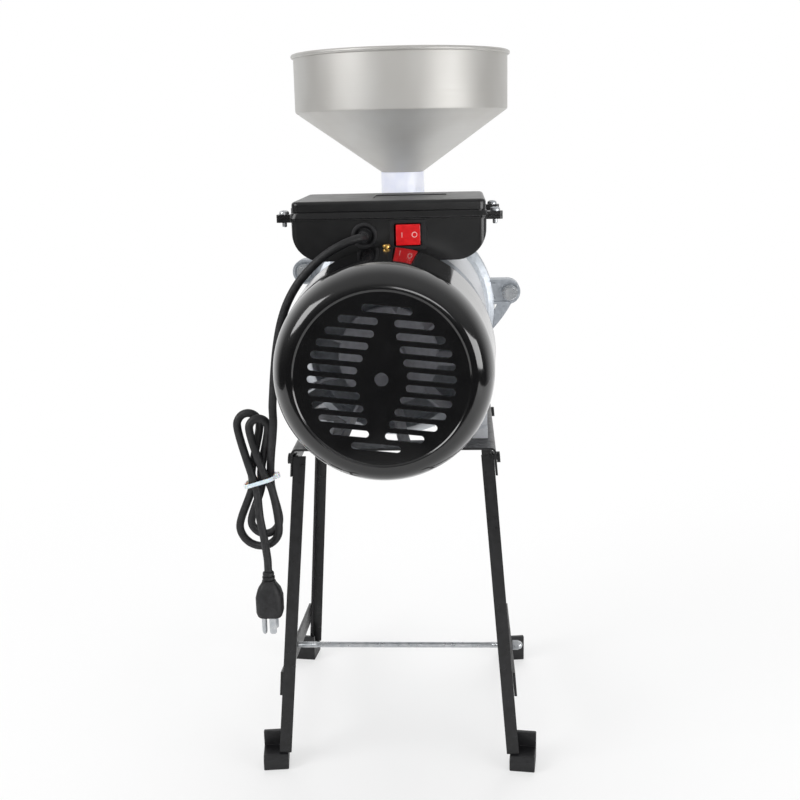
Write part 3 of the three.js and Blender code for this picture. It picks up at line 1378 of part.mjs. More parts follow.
function buildTray() {
  const half = trayHalfWidth;
  const low = trayTopZ - trayFlange;
  const lean = legSplayX / legFall;
  const outline = (inset, bottom) => {
    const x = half - inset;
    const top = trayTopZ - inset;
    const radius = trayFold - inset;
    const lowX = x + lean * (legTopZ - bottom);
    const shape = new THREE.Shape();
    shape.moveTo(-lowX, bottom);
    shape.lineTo(lowX, bottom);
    shape.lineTo(x, legTopZ);
    shape.lineTo(x, top - radius);
    shape.absarc(x - radius, top - radius, radius, 0, Math.PI / 2, false);
    shape.lineTo(radius - x, top);
    shape.absarc(radius - x, top - radius, radius, Math.PI / 2, Math.PI, false);
    shape.lineTo(-x, legTopZ);
    shape.closePath();
    return shape;
  };
  const sheet = cut(prismY(outline(0, low), trayNearY, trayFarY, 4),
    prismY(outline(traySheet, low - overrun), trayNearY - overrun, trayFarY + overrun, 4));
  const window = prismZ(roundedRect(-trayWindowHalf, trayWindowHalf, trayNearY + trayWindowInset,
    trayFarY - trayWindowInset, trayWindowRadius), trayUnderZ - overrun, trayTopZ + overrun, 3);
  const holes = [];
  for (const side of [-1, 1]) {
    for (const y of footBoltPlaces()) {
      holes.push(rodZ(footBoltRadius + screwGap, trayUnderZ - overrun, trayTopZ + overrun,
        pinSides, side * footBoltX, y));
    }
    for (const y of legBoltPlaces()) {
      const x0 = side < 0 ? -half - overrun * 2 : half - trayFold;
      holes.push(rodX(legBoltRadius + screwGap, x0, x0 + trayFold + overrun * 2,
        pinSides, y, trayTopZ - legBoltDrop));
    }
  }
  add('base_tray', cut(sheet, window, ...holes), 'satinBlack');
}

function legBoltPlaces() {
  return [trayNearY + legBoltInset, trayFarY - legBoltInset];
}

// Angle-steel legs: one flange across, one along the tray's side, each with its bolt
function buildLegs() {
  const ends = [[-1, 'near'], [1, 'far']];
  const hands = [[-1, 'left'], [1, 'right']];
  for (const [end, place] of ends) {
    for (const [side, hand] of hands) {
      const faceY = end < 0 ? trayNearY + seatGap : trayFarY - seatGap;
      const inY = faceY - end * legDepth;
      const outX = side * legTopX;
      const inX = side * (legTopX - legWidth);
      const skin = polygon([
        [outX, faceY], [inX, faceY], [inX, faceY - end * legSheet],
        [outX - side * legSheet, faceY - end * legSheet],
        [outX - side * legSheet, inY], [outX, inY],
      ]);
      const angle = splayed(prismZ(skin, legBottomZ, legTopZ), side, end);
      const boltY = legBoltPlaces()[end < 0 ? 0 : 1];
      const boltZ = trayTopZ - legBoltDrop;
      const headIn = side * (trayHalfWidth + seatGap);
      const headOut = headIn + side * legBoltHead;
      const shankIn = outX - side * legSheet * legShankShare;
      const shankOut = headOut - side * legBoltSink;
      const head = rodX(legBoltHeadRadius, Math.min(headIn, headOut), Math.max(headIn, headOut),
        lowSides, boltY, boltZ);
      const shank = rodX(legBoltRadius, Math.min(shankIn, shankOut), Math.max(shankIn, shankOut),
        pinSides, boltY, boltZ);
      add(`leg_${place}_${hand}`, join(angle, splayed(join(shank, head), side, 0)), 'satinBlack');

      const foot = footBlock(end);
      const yaw = side * end * footYawDegrees;
      const centreY = faceY + end * (legSplayY + footFrontLip - footDepth / 2);
      add(`foot_${place}_${hand}`, moved(foot.rotate([0, 0, yaw]), side * footCentreX, centreY, floorZ),
        'blackRubber');
    }
  }
}

// Foot: a low block with a raised wall behind the leg and a sloped outer face
function footBlock(end) {
  const half = footDepth / 2;
  const front = end * half;
  const back = -front;
  const side = polygon([
    [front, 0], [back, 0], [back, footWall], [back + end * footWallThick, footWall],
    [back + end * footWallThick, footSeat], [front - end * footFrontLip / 2, footSeat],
    [front, footSeat - footFrontLip / 2],
  ]);
  return prismX(side, -footHalfWidth, footHalfWidth);
}

// Side rails lie flat on the legs' outer faces and fall a little towards the far end.
function buildRails() {
  const nearY = trayNearY - legSplayY * (1 - railNearRise / legFall) - railOverhang + footFrontLip;
  const farY = trayFarY + legSplayY * (1 - railNearRise / legFall) - footFrontLip;
  const low = floorZ + railNearRise;
  const midY = (trayNearY + trayFarY) / 2;
  const midZ = low + railHeight / 2 - railDrop / 2;
  for (const [side, hand] of [[-1, 'left'], [1, 'right']]) {
    const strip = polygon([
      [nearY, low], [farY, low - railDrop], [farY, low - railDrop + railHeight], [nearY, low + railHeight],
    ]);
    const x0 = side < 0 ? -legTopX - seatGap - railSheet : legTopX + seatGap;
    const flat = splayed(prismX(strip, x0, x0 + railSheet), side, 0);
    const reach = legTopX + legSplayX;
    const hole = rodX(rodRadius + screwGap, -reach * 2, reach * 2, pinSides, midY, midZ);
    add(`side_rail_${hand}`, cut(flat, hole), 'satinBlack');
    const railX = legTopX + seatGap + railSheet + (legSplayX * (legTopZ - midZ + domeNutRadius)) / legFall;
    const nutIn = side * (railX + seatGap);
    const nutOut = nutIn + side * domeNutThick;
    const nut = rodX(domeNutRadius, Math.min(nutIn, nutOut), Math.max(nutIn, nutOut), hexSides, midY, midZ);
    const dome = new THREE.SphereGeometry(domeNutRadius * domeBallShare, domeSides, domeBands);
    const ball = solid(dome.translate(nutOut, midY, midZ));
    const bore = rodX(rodRadius + seatGap, -railX - rodEnd, railX + rodEnd, pinSides, midY, midZ);
    add(`rod_nut_${hand}`, cut(join(nut, ball), bore), 'zinc');
    if (side > 0) {
      const end = railX + rodEnd - seatGap;
      add('tie_rod', rodX(rodRadius, -end, end, pinSides, midY, midZ), 'zinc');
    }
  }
}

buildFanCover();
buildFan();
buildShaft();
bearing('bearing_rear', shaftSeatRadius + seatGap, rearBearingRadius, rearBearingY, rearBearingWidth);
bearing('bearing_front', shaftFrontRadius + seatGap, frontBearingRadius, frontBearingY, frontBearingWidth);
buildMotor();
buildMotorBolts();
buildHousing();
buildEarFasteners();
buildFrontCover();
buildBurrs();
buildAuger();
buildAdjuster();
buildHopper();
buildSwitchBox();
buildSwitch();
buildGrommet();
buildCord();
buildTie();
buildPlug();
buildTray();
buildLegs();
buildRails();

// The hopper's far edge is the machine's far end, so half of that length centres it.
const machineLength = hopperY + hopperRadius + hopperRollRadius / 2 + hopperRollRadius;
machine.position.set(0, -machineLength / 2, axisHeight);

export default machine;
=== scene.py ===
# %% [markdown]
# # An electric grain mill on its stand
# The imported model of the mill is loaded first, and it never moves. Every piece that is
# modelled below sits on one of its bodies, so the looks follow the joints of the real machine.

# %% The frame
import math

import bpy
from mathutils import Matrix, Vector


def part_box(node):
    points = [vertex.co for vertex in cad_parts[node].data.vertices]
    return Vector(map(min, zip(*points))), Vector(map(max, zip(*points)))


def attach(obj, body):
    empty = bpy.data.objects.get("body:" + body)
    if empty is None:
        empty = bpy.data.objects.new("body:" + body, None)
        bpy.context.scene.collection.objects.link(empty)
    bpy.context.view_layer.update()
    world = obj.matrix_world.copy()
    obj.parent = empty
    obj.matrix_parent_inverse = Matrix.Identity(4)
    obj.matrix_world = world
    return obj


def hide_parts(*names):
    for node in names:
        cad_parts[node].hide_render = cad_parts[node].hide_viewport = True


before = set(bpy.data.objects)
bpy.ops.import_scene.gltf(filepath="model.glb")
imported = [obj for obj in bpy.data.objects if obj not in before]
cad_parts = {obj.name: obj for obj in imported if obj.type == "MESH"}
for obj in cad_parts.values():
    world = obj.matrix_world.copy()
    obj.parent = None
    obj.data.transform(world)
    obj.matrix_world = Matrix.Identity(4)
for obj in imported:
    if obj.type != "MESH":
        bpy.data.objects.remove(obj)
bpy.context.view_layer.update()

# %% [markdown]
# Sizes on the machine are easiest in millimetres from its shaft: x to the right, y away from
# the fan cover's face, z up from the shaft's line. Blender wants metres in the frame, so one
# small function turns the one into the other, and everything below goes through it.

# %% Places on the machine
MM = 0.001
MIDDLE_Y = 264.225
SHAFT_HEIGHT = 394.0


def spot(x, y, z):
    return Vector((x * MM, (y - MIDDLE_Y) * MM, (z + SHAFT_HEIGHT) * MM))


def on_machine(point):
    return Vector((point.x / MM, point.y / MM + MIDDLE_Y, point.z / MM - SHAFT_HEIGHT))


print("fan cover face", [round(v, 4) for v in spot(0, 0, 0)])

# %% [markdown]
# The camera stands 0.84 m in front of the machine, a little to the right and above the hopper's
# foot, and looks down by 13.6 degrees. Its lens is 50 mm on a 36 mm sensor. The three angles
# are written in degrees and turned into Blender's radians.

# %% The camera
CAMERA_LENS, SENSOR_WIDTH = 49.949, 36
CAMERA_PLACE = (60.61, -836.853, 187.32)
CAMERA_ANGLES = (76.363, 1.2762, 2.8686)
SEEN_FROM, SEEN_TO = 0.05, 60
camera_data = bpy.data.cameras.new("studio_camera")
camera_data.lens = CAMERA_LENS
camera_data.sensor_width = SENSOR_WIDTH
camera_data.clip_start = SEEN_FROM
camera_data.clip_end = SEEN_TO
camera = bpy.data.objects.new("studio_camera", camera_data)
bpy.context.scene.collection.objects.link(camera)
camera.location = spot(*CAMERA_PLACE)
camera.rotation_euler = [math.radians(angle) for angle in CAMERA_ANGLES]
bpy.context.scene.camera = camera
print("camera at", [round(v, 3) for v in camera.location])

# %% [markdown]
# A studio for a dark, glossy machine: a large soft box on each side and a small strip in front
# draw the bright edges on the enamel. The fill, top and back boxes light the machine without
# showing in its reflections. The backdrop is white behind the machine and the room behind the
# camera is dim, which is what keeps black enamel black.

# %% Studio light
scene = bpy.context.scene
scene.view_settings.view_transform = "Standard"


AIM = Vector((0, 0, 0.4))
LAMPS = [  # name, place, width, height, watts, and whether gloss mirrors it
    ("left_box", (-1.5, -1.0, 1.25), 1.1, 0.8, 17, True),
    ("right_box", (1.5, -1.0, 0.5), 1.3, 0.6, 14, True),
    ("front_strip", (0.25, -2.3, 0.62), 0.6, 0.2, 2, True),
    ("front_fill", (-0.3, -2.4, 0.9), 1.2, 0.9, 9, False),
    ("top_box", (0.0, 1.3, 2.3), 1.8, 1.4, 24, False),
    ("back_box", (0.3, 1.9, 1.3), 1.6, 1.2, 14, False),
]


def soft_box(name, place, width, height, watts, mirrors):
    data = bpy.data.lights.new(name, "AREA")
    data.shape = "RECTANGLE"
    data.size = width
    data.size_y = height
    data.energy = watts
    lamp = bpy.data.objects.new(name, data)
    scene.collection.objects.link(lamp)
    lamp.location = place
    lamp.rotation_euler = (AIM - Vector(place)).to_track_quat("-Z", "Y").to_euler()
    lamp.visible_glossy = mirrors


for row in LAMPS:
    soft_box(*row)

# %% [markdown]
# The world is the backdrop. The camera and glass see it plain white. The light on the machine is
# dimmer. A mirrored ray gets the room: dim low down, brighter overhead, and nearly white where
# it runs away behind the machine. Two small helpers keep such node chains short.

# %% The white backdrop
WHITE, BEHIND, ROOM_LOW, ROOM_HIGH, ON_MACHINE = 1.0, 0.9, 0.06, 0.6, 0.42


def ranged(tree, source, low, high, to_low=0.0, to_high=1.0, kind="LINEAR"):
    """Turns the source's values from low to high into to_low to to_high."""
    node = tree.nodes.new("ShaderNodeMapRange")
    node.interpolation_type = kind
    ends = {"From Min": low, "From Max": high, "To Min": to_low, "To Max": to_high}
    for socket, value in ends.items():
        node.inputs[socket].default_value = value
    tree.links.new(source, node.inputs["Value"])
    return node.outputs["Result"]


def mixed(tree, factor, **parts):
    """Mixes from A to B. Each of the two is a number or another node's socket."""
    node = tree.nodes.new("ShaderNodeMix")
    tree.links.new(factor, node.inputs["Factor"])
    for socket, part in parts.items():
        if isinstance(part, float):
            node.inputs[socket].default_value = part
        else:
            tree.links.new(part, node.inputs[socket])
    return node.outputs["Result"]


world = bpy.data.worlds.new("studio_backdrop")
scene.world = world
world.use_nodes = True
sky = world.node_tree
ray = sky.nodes.new("ShaderNodeLightPath").outputs
axes = sky.nodes.new("ShaderNodeSeparateXYZ")
directions = sky.nodes.new("ShaderNodeTexCoord").outputs["Generated"]
sky.links.new(directions, axes.inputs["Vector"])
room_part = ranged(sky, axes.outputs["Z"], -0.3, 0.9, ROOM_LOW, ROOM_HIGH, "SMOOTHSTEP")
behind = ranged(sky, axes.outputs["Y"], 0.1, 0.85, kind="SMOOTHSTEP")
reflected = mixed(sky, behind, A=room_part, B=BEHIND)
lit_part = mixed(sky, ray["Is Glossy Ray"], A=ON_MACHINE, B=reflected)
through_part = sky.nodes.new("ShaderNodeMath")
through_part.operation = "MAXIMUM"
sky.links.new(ray["Is Camera Ray"], through_part.inputs[0])
sky.links.new(ray["Is Transmission Ray"], through_part.inputs[1])
seen_part = mixed(sky, through_part.outputs[0], A=lit_part, B=WHITE)
backdrop = sky.nodes["Background"]
backdrop.inputs["Color"].default_value = (1, 1, 1, 1)
sky.links.new(seen_part, backdrop.inputs["Strength"])
print("world nodes", len(sky.nodes))

# %% [markdown]
# The floor is a pale sheet. Near the machine it takes the soft shadow of the feet, and further
# out it fades into the white of the backdrop, so no horizon line crosses the picture.

# %% The floor
FLOOR_REACH, FLOOR_DROP, FLOOR_GREY = 2.6, 0.0005, 0.86
SHADOW_REACH, FADED, GLOW_NEAR = 0.25, 0.9, 0.55
bpy.ops.object.select_all(action="DESELECT")
bpy.ops.mesh.primitive_plane_add(size=FLOOR_REACH, location=(0, 0, -FLOOR_DROP))
floor = bpy.context.object
floor.name = "studio_floor"
floor_finish = bpy.data.materials.new("studio_floor")
floor_finish.use_nodes = True
sheet = floor_finish.node_tree
matt = sheet.nodes["Principled BSDF"]
matt.inputs["Base Color"].default_value = (FLOOR_GREY, FLOOR_GREY, FLOOR_GREY, 1)
matt.inputs["Roughness"].default_value = 0.8
matt.inputs["Specular IOR Level"].default_value = 0.1
glow = sheet.nodes.new("ShaderNodeEmission")
distance = sheet.nodes.new("ShaderNodeVectorMath")
distance.operation = "LENGTH"
sheet.links.new(sheet.nodes.new("ShaderNodeTexCoord").outputs["Object"], distance.inputs[0])
fade = ranged(sheet, distance.outputs["Value"], SHADOW_REACH, FADED, GLOW_NEAR)
only_seen = sheet.nodes.new("ShaderNodeMath")
only_seen.operation = "MULTIPLY"
sheet.links.new(fade, only_seen.inputs[0])
seen_ray = sheet.nodes.new("ShaderNodeLightPath").outputs["Is Camera Ray"]
sheet.links.new(seen_ray, only_seen.inputs[1])
blend_floor = sheet.nodes.new("ShaderNodeMixShader")
sheet.links.new(only_seen.outputs[0], blend_floor.inputs["Fac"])
sheet.links.new(matt.outputs["BSDF"], blend_floor.inputs[1])
sheet.links.new(glow.outputs["Emission"], blend_floor.inputs[2])
floor_surface = sheet.nodes["Material Output"].inputs["Surface"]
sheet.links.new(blend_floor.outputs["Shader"], floor_surface)
floor.data.materials.append(floor_finish)
print("floor", floor.dimensions[:2])

# %% [markdown]
# ## Finishes
# A finish starts from a Principled shader. Texture nodes read Object coordinates, so a grain
# keeps its size in millimetres on every piece. One texture can tint the colour, another can
# make the gloss uneven, and a third can raise the surface a few hundredths of a millimetre.

# %% Finish helpers
TINT_FROM, TINT_TO = 0.35, 0.65
GLOSS_FROM, GLOSS_TO = 0.3, 0.7


def shade(red, green, blue):
    """A colour as it is seen on a screen, 0 to 255, turned into the shader's own numbers."""
    parts = [value / 255 for value in (red, green, blue)]
    return [p / 12.92 if p <= 0.04045 else ((p + 0.055) / 1.055) ** 2.4 for p in parts]


def new_finish(name, colour, roughness, metallic=0.0, **sockets):
    """A Principled material. A socket such as Coat Weight is written coat_weight."""
    finish = bpy.data.materials.new(name)
    finish.use_nodes = True
    shader = finish.node_tree.nodes["Principled BSDF"]
    shader.inputs["Base Color"].default_value = (*shade(*colour), 1)
    shader.inputs["Roughness"].default_value = roughness
    shader.inputs["Metallic"].default_value = metallic
    for socket, value in sockets.items():
        shader.inputs[socket.replace("_", " ").title()].default_value = value
    return finish


def grain(tree, size_mm, detail=3.0, stretch=(1, 1, 1)):
    """A noise texture whose blots are about size_mm across, and its factor socket."""
    places = tree.nodes.new("ShaderNodeTexCoord")
    mapping = tree.nodes.new("ShaderNodeMapping")
    mapping.inputs["Scale"].default_value = stretch
    noise = tree.nodes.new("ShaderNodeTexNoise")
    noise.inputs["Scale"].default_value = 1 / (size_mm * MM)
    noise.inputs["Detail"].default_value = detail
    tree.links.new(places.outputs["Object"], mapping.inputs["Vector"])
    tree.links.new(mapping.outputs["Vector"], noise.inputs["Vector"])
    return noise.outputs["Fac"]


def drive(tree, source, socket):
    """Lets the source set one socket of the finish's shader."""
    tree.links.new(source, tree.nodes["Principled BSDF"].inputs[socket])


def tint(finish, dark, light, *texture):
    """Shifts the colour between two shades. The texture is written as for grain()."""
    tree = finish.node_tree
    ramp = tree.nodes.new("ShaderNodeValToRGB")
    ends = zip(ramp.color_ramp.elements, (TINT_FROM, TINT_TO), (dark, light))
    for element, position, colour in ends:
        element.position = position
        element.color = (*shade(*colour), 1)
    tree.links.new(grain(tree, *texture), ramp.inputs["Fac"])
    drive(tree, ramp.outputs["Color"], "Base Color")


def uneven_gloss(finish, smooth, rough, *texture):
    tree = finish.node_tree
    spread = ranged(tree, grain(tree, *texture), GLOSS_FROM, GLOSS_TO, smooth, rough)
    drive(tree, spread, "Roughness")


def raised(finish, height_mm, strength, *texture):
    """Raises the surface by the texture, height_mm at the most."""
    tree = finish.node_tree
    bump = tree.nodes.new("ShaderNodeBump")
    bump.inputs["Strength"].default_value = strength
    bump.inputs["Distance"].default_value = height_mm * MM
    tree.links.new(grain(tree, *texture), bump.inputs["Height"])
    drive(tree, bump.outputs["Normal"], "Normal")


print("helpers ready, mid grey", [round(v, 3) for v in shade(128, 128, 128)])

# %% [markdown]
# The blacks: stove enamel on the fan cover with a little orange peel, glossy moulded plastic on
# the switch box, satin plastic on the switch's frame and the feet, a dull coat on the stand's
# steel, and rubber for the cord, its plug and the grommet. Each helper takes the finish, what it
# changes, and then the size of its grain in millimetres.

# %% Black finishes
enamel = new_finish("stove_enamel", (8, 8, 9), 0.1, coat_weight=0.5, coat_roughness=0.04)
tint(enamel, (7, 7, 8), (13, 13, 14), 14)
uneven_gloss(enamel, 0.09, 0.15, 30)
raised(enamel, 0.006, 0.6, 1.6, 1.0)

moulded = new_finish("glossy_moulding", (10, 10, 11), 0.26, coat_weight=0.1, coat_roughness=0.2)
tint(moulded, (8, 8, 9), (15, 15, 16), 9)
uneven_gloss(moulded, 0.3, 0.36, 12)
raised(moulded, 0.004, 0.6, 0.9, 1.0)

satin = new_finish("satin_moulding", (20, 20, 22), 0.4)
tint(satin, (16, 16, 18), (26, 26, 28), 4)
uneven_gloss(satin, 0.34, 0.5, 3)
raised(satin, 0.02, 1, 0.35, 2.0)

stand_paint = new_finish("stand_paint", (15, 15, 16), 0.34)
tint(stand_paint, (11, 11, 12), (22, 22, 24), 7)
uneven_gloss(stand_paint, 0.26, 0.44, 5)
raised(stand_paint, 0.02, 1, 0.7, 2.0)

rubber = new_finish("black_rubber", (24, 24, 26), 0.55)
tint(rubber, (18, 18, 20), (32, 32, 34), 5)
uneven_gloss(rubber, 0.45, 0.66, 2)
raised(rubber, 0.02, 1, 0.3, 2.0)
print("blacks", enamel.name, moulded.name, satin.name, stand_paint.name, rubber.name)

# %% [markdown]
# The metals: the hopper is spun from stainless sheet, and the fine rings of the spinning tool
# smear every reflection up and down. Those rings are a noise squeezed flat along the height.
# Castings are sand-blasted, so they are pitted, and zinc plate has a faint bloom.

# %% Metal finishes
stainless = new_finish("spun_stainless", (198, 197, 194), 0.5, 0.58)
tint(stainless, (193, 191, 187), (203, 202, 199), 60, 2.0, (1, 1, 0.4))
uneven_gloss(stainless, 0.46, 0.52, 9, 2.0, (0.05, 0.05, 8))
raised(stainless, 0.004, 0.6, 0.8, 2.0, (0.01, 0.01, 1))

aluminium = new_finish("sand_cast_aluminium", (180, 185, 191), 0.4, 0.68)
tint(aluminium, (173, 178, 184), (187, 192, 198), 4)
uneven_gloss(aluminium, 0.36, 0.46, 3)
raised(aluminium, 0.05, 1, 1.1, 4.0)

silver = new_finish("silver_paint", (206, 208, 212), 0.4, 0.22)
tint(silver, (198, 200, 204), (214, 216, 220), 0.5, 2.0)
uneven_gloss(silver, 0.34, 0.46, 10)
raised(silver, 0.02, 1, 1.4, 2.0)

zinc = new_finish("zinc_plate", (196, 199, 202), 0.3, 0.8)
tint(zinc, (186, 190, 194), (206, 208, 210), 6)
uneven_gloss(zinc, 0.26, 0.34, 4)
raised(zinc, 0.003, 1, 1.5, 2.0)

brass = new_finish("brass", (196, 156, 84), 0.3, 1.0)
tint(brass, (160, 118, 56), (214, 178, 104), 1.5)
uneven_gloss(brass, 0.24, 0.42, 0.8)

steel = new_finish("turned_steel", (150, 152, 155), 0.35, 1.0)
tint(steel, (132, 134, 138), (168, 170, 173), 6)
uneven_gloss(steel, 0.26, 0.44, 2, 2.0, (1, 9, 1))
raised(steel, 0.01, 1, 0.5, 2.0, (0.1, 1, 0.1))

laminations = new_finish("stacked_laminations", (112, 114, 118), 0.45, 0.9)
tint(laminations, (70, 72, 76), (132, 134, 138), 0.5, 1.0, (0.02, 1, 0.02))
raised(laminations, 0.1, 1, 0.5, 1.0, (0.02, 1, 0.02))

iron = new_finish("cast_iron", (84, 86, 89), 0.6, 0.8)
tint(iron, (62, 64, 67), (104, 106, 109), 5)
uneven_gloss(iron, 0.5, 0.72, 1.5)
raised(iron, 0.15, 1, 1.1, 4.0)

copper = new_finish("enamelled_copper", (170, 84, 40), 0.35, 0.85)
tint(copper, (112, 46, 20), (196, 108, 56), 0.9, 1.0, (1, 0.1, 1))
raised(copper, 0.3, 1, 0.9, 1.0, (1, 0.1, 1))
print("metals", stainless.name, aluminium.name, silver.name, zinc.name, brass.name)

# %% [markdown]
# The plastics: bluish white feed tube, milky nylon tie, red rocker with its white marks, and the
# grey blades of the cooling fan.

# %% Plastic finishes
tube_white = new_finish("feed_tube_plastic", (236, 238, 252), 0.34, subsurface_weight=0.3)
tube_shader = tube_white.node_tree.nodes["Principled BSDF"]
tube_shader.inputs["Subsurface Radius"].default_value = (0.004, 0.004, 0.005)
tint(tube_white, (232, 235, 251), (240, 242, 254), 12)
uneven_gloss(tube_white, 0.28, 0.4, 5)
raised(tube_white, 0.01, 1, 1.5, 2.0)

nylon = new_finish("milky_nylon", (238, 239, 240), 0.36, subsurface_weight=0.3)
tint(nylon, (232, 233, 235), (244, 244, 245), 3)
uneven_gloss(nylon, 0.28, 0.45, 1)

rocker_red = new_finish("rocker_red", (214, 14, 22), 0.2, coat_weight=0.4, coat_roughness=0.08)
tint(rocker_red, (204, 10, 18), (224, 22, 28), 5)
uneven_gloss(rocker_red, 0.16, 0.26, 2)

mark_white = new_finish("printed_white", (236, 226, 224), 0.4)
tint(mark_white, (226, 214, 212), (244, 238, 236), 0.5)

fan_grey = new_finish("fan_plastic", (196, 198, 206), 0.42)
tint(fan_grey, (188, 190, 198), (204, 206, 214), 6)
uneven_gloss(fan_grey, 0.34, 0.5, 3)
raised(fan_grey, 0.01, 1, 0.5, 2.0)
print("plastics", tube_white.name, nylon.name, rocker_red.name, fan_grey.name)

# %% [markdown]
# ## Modelling helpers
# An operator works on whatever is selected, and a loaded frame leaves all its nodes selected.
# So each helper first empties the selection, and choose() picks vertices, edges or faces of one
# piece by where they are on the machine or which way they face.

# %% Selection
def deselect_all():
    if bpy.context.object is not None and bpy.context.object.mode != "OBJECT":
        bpy.ops.object.mode_set(mode="OBJECT")
    bpy.ops.object.select_all(action="DESELECT")


def take(piece):
    """Makes the piece the only selected one."""
    deselect_all()
    piece.select_set(True)
    bpy.context.view_layer.objects.active = piece


def choose(piece, kind, wanted):
    """Selects the VERT, EDGE or FACE parts of the piece that pass a test on place and direction."""
    take(piece)
    mesh = piece.data
    for group in (mesh.vertices, mesh.edges, mesh.polygons):
        group.foreach_set("select", [False] * len(group))
    bpy.context.tool_settings.mesh_select_mode = [kind == k for k in ("VERT", "EDGE", "FACE")]
    if kind == "VERT":
        for vertex in mesh.vertices:
            vertex.select = bool(wanted(on_machine(vertex.co), vertex.normal))
    elif kind == "EDGE":
        for edge in mesh.edges:
            a, b = (mesh.vertices[i].co for i in edge.vertices)
            edge.select = bool(wanted(on_machine((a + b) / 2), (b - a).normalized()))
    else:
        for face in mesh.polygons:
            face.select = bool(wanted(on_machine(face.center), face.normal))
    bpy.ops.object.mode_set(mode="EDIT")


print("selected nodes before the first piece", len(bpy.context.selected_objects))

# %% [markdown]
# Round pieces are made as on a lathe: a chain of extruded points draws the profile, and Spin
# takes it round the axis. Flat pieces are cut from plate: the same chain is closed, filled and
# extruded. The chain starts from a plane whose corners are merged into one point.

# %% Lathe and plate
TOUCH = 1e-6


def along(axis, u, v, w):
    """A spot from two places across the axis, Y or Z, and a third one along it."""
    return spot(u, w, v) if axis == "Y" else spot(u, v, w)


def start_chain(name, first):
    deselect_all()
    bpy.ops.mesh.primitive_plane_add(size=MM, location=(0, 0, 0))
    piece = bpy.context.object
    piece.name = name
    bpy.context.tool_settings.mesh_select_mode = (True, False, False)
    bpy.ops.object.mode_set(mode="EDIT")
    bpy.ops.mesh.select_all(action="SELECT")
    bpy.ops.mesh.merge(type="CENTER")
    bpy.ops.transform.translate(value=first)
    return piece


def draw_chain(points):
    for before, after in zip(points, points[1:]):
        bpy.ops.mesh.extrude_region_move(TRANSFORM_OT_translate={"value": after - before})


def outward():
    bpy.ops.mesh.select_all(action="SELECT")
    bpy.ops.mesh.remove_doubles(threshold=TOUCH)
    bpy.ops.mesh.normals_make_consistent(inside=False)
    bpy.ops.object.mode_set(mode="OBJECT")


def turned(name, profile, axis="Y", middle=(0, 0), sides=96):
    """Spins a profile of (radius, place along the axis) round the axis through middle."""
    u, v = middle
    points = [along(axis, u + r, v, w) for r, w in profile]
    piece = start_chain(name, points[0])
    draw_chain(points)
    bpy.ops.mesh.select_all(action="SELECT")
    direction = (0, 1, 0) if axis == "Y" else (0, 0, 1)
    bpy.ops.mesh.spin(steps=sides, angle=math.tau, center=along(axis, u, v, 0), axis=direction)
    outward()
    return piece


def plate(name, outline, axis, low, high, corner=0.0, steps=5):
    """Fills an outline of two machine axes and extrudes it from low to high along the third."""
    points = [along(axis, u, v, low) for u, v in [*outline, outline[0]]]
    piece = start_chain(name, points[0])
    draw_chain(points)
    bpy.ops.mesh.select_all(action="SELECT")
    bpy.ops.mesh.remove_doubles(threshold=TOUCH)
    bpy.ops.mesh.edge_face_add()
    if corner:
        bpy.ops.mesh.bevel(affect="VERTICES", offset=corner * MM, segments=steps)
        bpy.ops.mesh.select_all(action="SELECT")
    step = along(axis, 0, 0, high) - along(axis, 0, 0, low)
    bpy.ops.mesh.extrude_region_move(TRANSFORM_OT_translate={"value": step})
    outward()
    return piece


def rectangle(u0, u1, v0, v1):
    return [(u0, v0), (u1, v0), (u1, v1), (u0, v1)]


def ring_of(count, radius, u, v, start=0.0):
    """The corners of a regular outline round u and v. Start counts in its own steps."""
    angles = [math.tau * (i + start) / count for i in range(count)]
    return [(u + radius * math.cos(a), v + radius * math.sin(a)) for a in angles]


def rod(name, radius, axis, low, high, u=0, v=0, sides=32):
    """A straight round bar along the axis, from low to high, through u and v of the others."""
    return plate(name, ring_of(sides, radius, u, v, 0.5), axis, low, high)


print("lathe and plate ready")

# %% [markdown]
# Pieces are welded together and hollowed with a Boolean modifier that is applied at once. The
# tool is only lent, so it is removed. Where meshes need not become one, they are only joined.

# %% Joining and carving
def apply_modifier(piece, modifier):
    take(piece)
    bpy.ops.object.modifier_apply(modifier=modifier.name)


def carve(piece, *tools, operation="DIFFERENCE"):
    for tool in tools:
        modifier = piece.modifiers.new("carve", "BOOLEAN")
        modifier.operation = operation
        modifier.solver = "EXACT"
        modifier.object = tool
        apply_modifier(piece, modifier)
        bpy.data.objects.remove(tool)
    return piece


def weld(piece, *others):
    return carve(piece, *others, operation="UNION")


def join(piece, *others):
    """Puts the others' meshes into the piece's as they are."""
    take(piece)
    for other in others:
        other.select_set(True)
    bpy.ops.object.join()
    return piece


print("carving ready")

# %% [markdown]
# What repeats is modelled once and copied, each copy with its own mesh. What leans is built
# straight and then turned about a place on the machine. A piece whose solid already has the
# right shape starts from a copy of its node, with its doubled corners merged.

# %% Copies and turns
FLAT_ANGLE = 1.0


def turn_about(piece, place, degrees, axis="Y", onto=None):
    """Turns the mesh about a place on the machine. With onto, that place is then moved there."""
    there = Matrix.Translation(spot(*(onto or place)))
    spin = Matrix.Rotation(math.radians(degrees), 4, axis)
    piece.data.transform(there @ spin @ Matrix.Translation(-spot(*place)))


def own_copy(name, source):
    """A new object with its own copy of the source's mesh."""
    piece = bpy.data.objects.new(name, source.data.copy())
    scene.collection.objects.link(piece)
    return piece


def turned_copies(piece, name, degrees):
    """Copies of the piece round the shaft, one at each angle. The pattern itself goes."""
    copies = [own_copy(f"{name}_{i}", piece) for i in range(len(degrees))]
    for again, angle in zip(copies, degrees):
        turn_about(again, (0, 0, 0), angle)
    bpy.data.objects.remove(piece)
    return copies


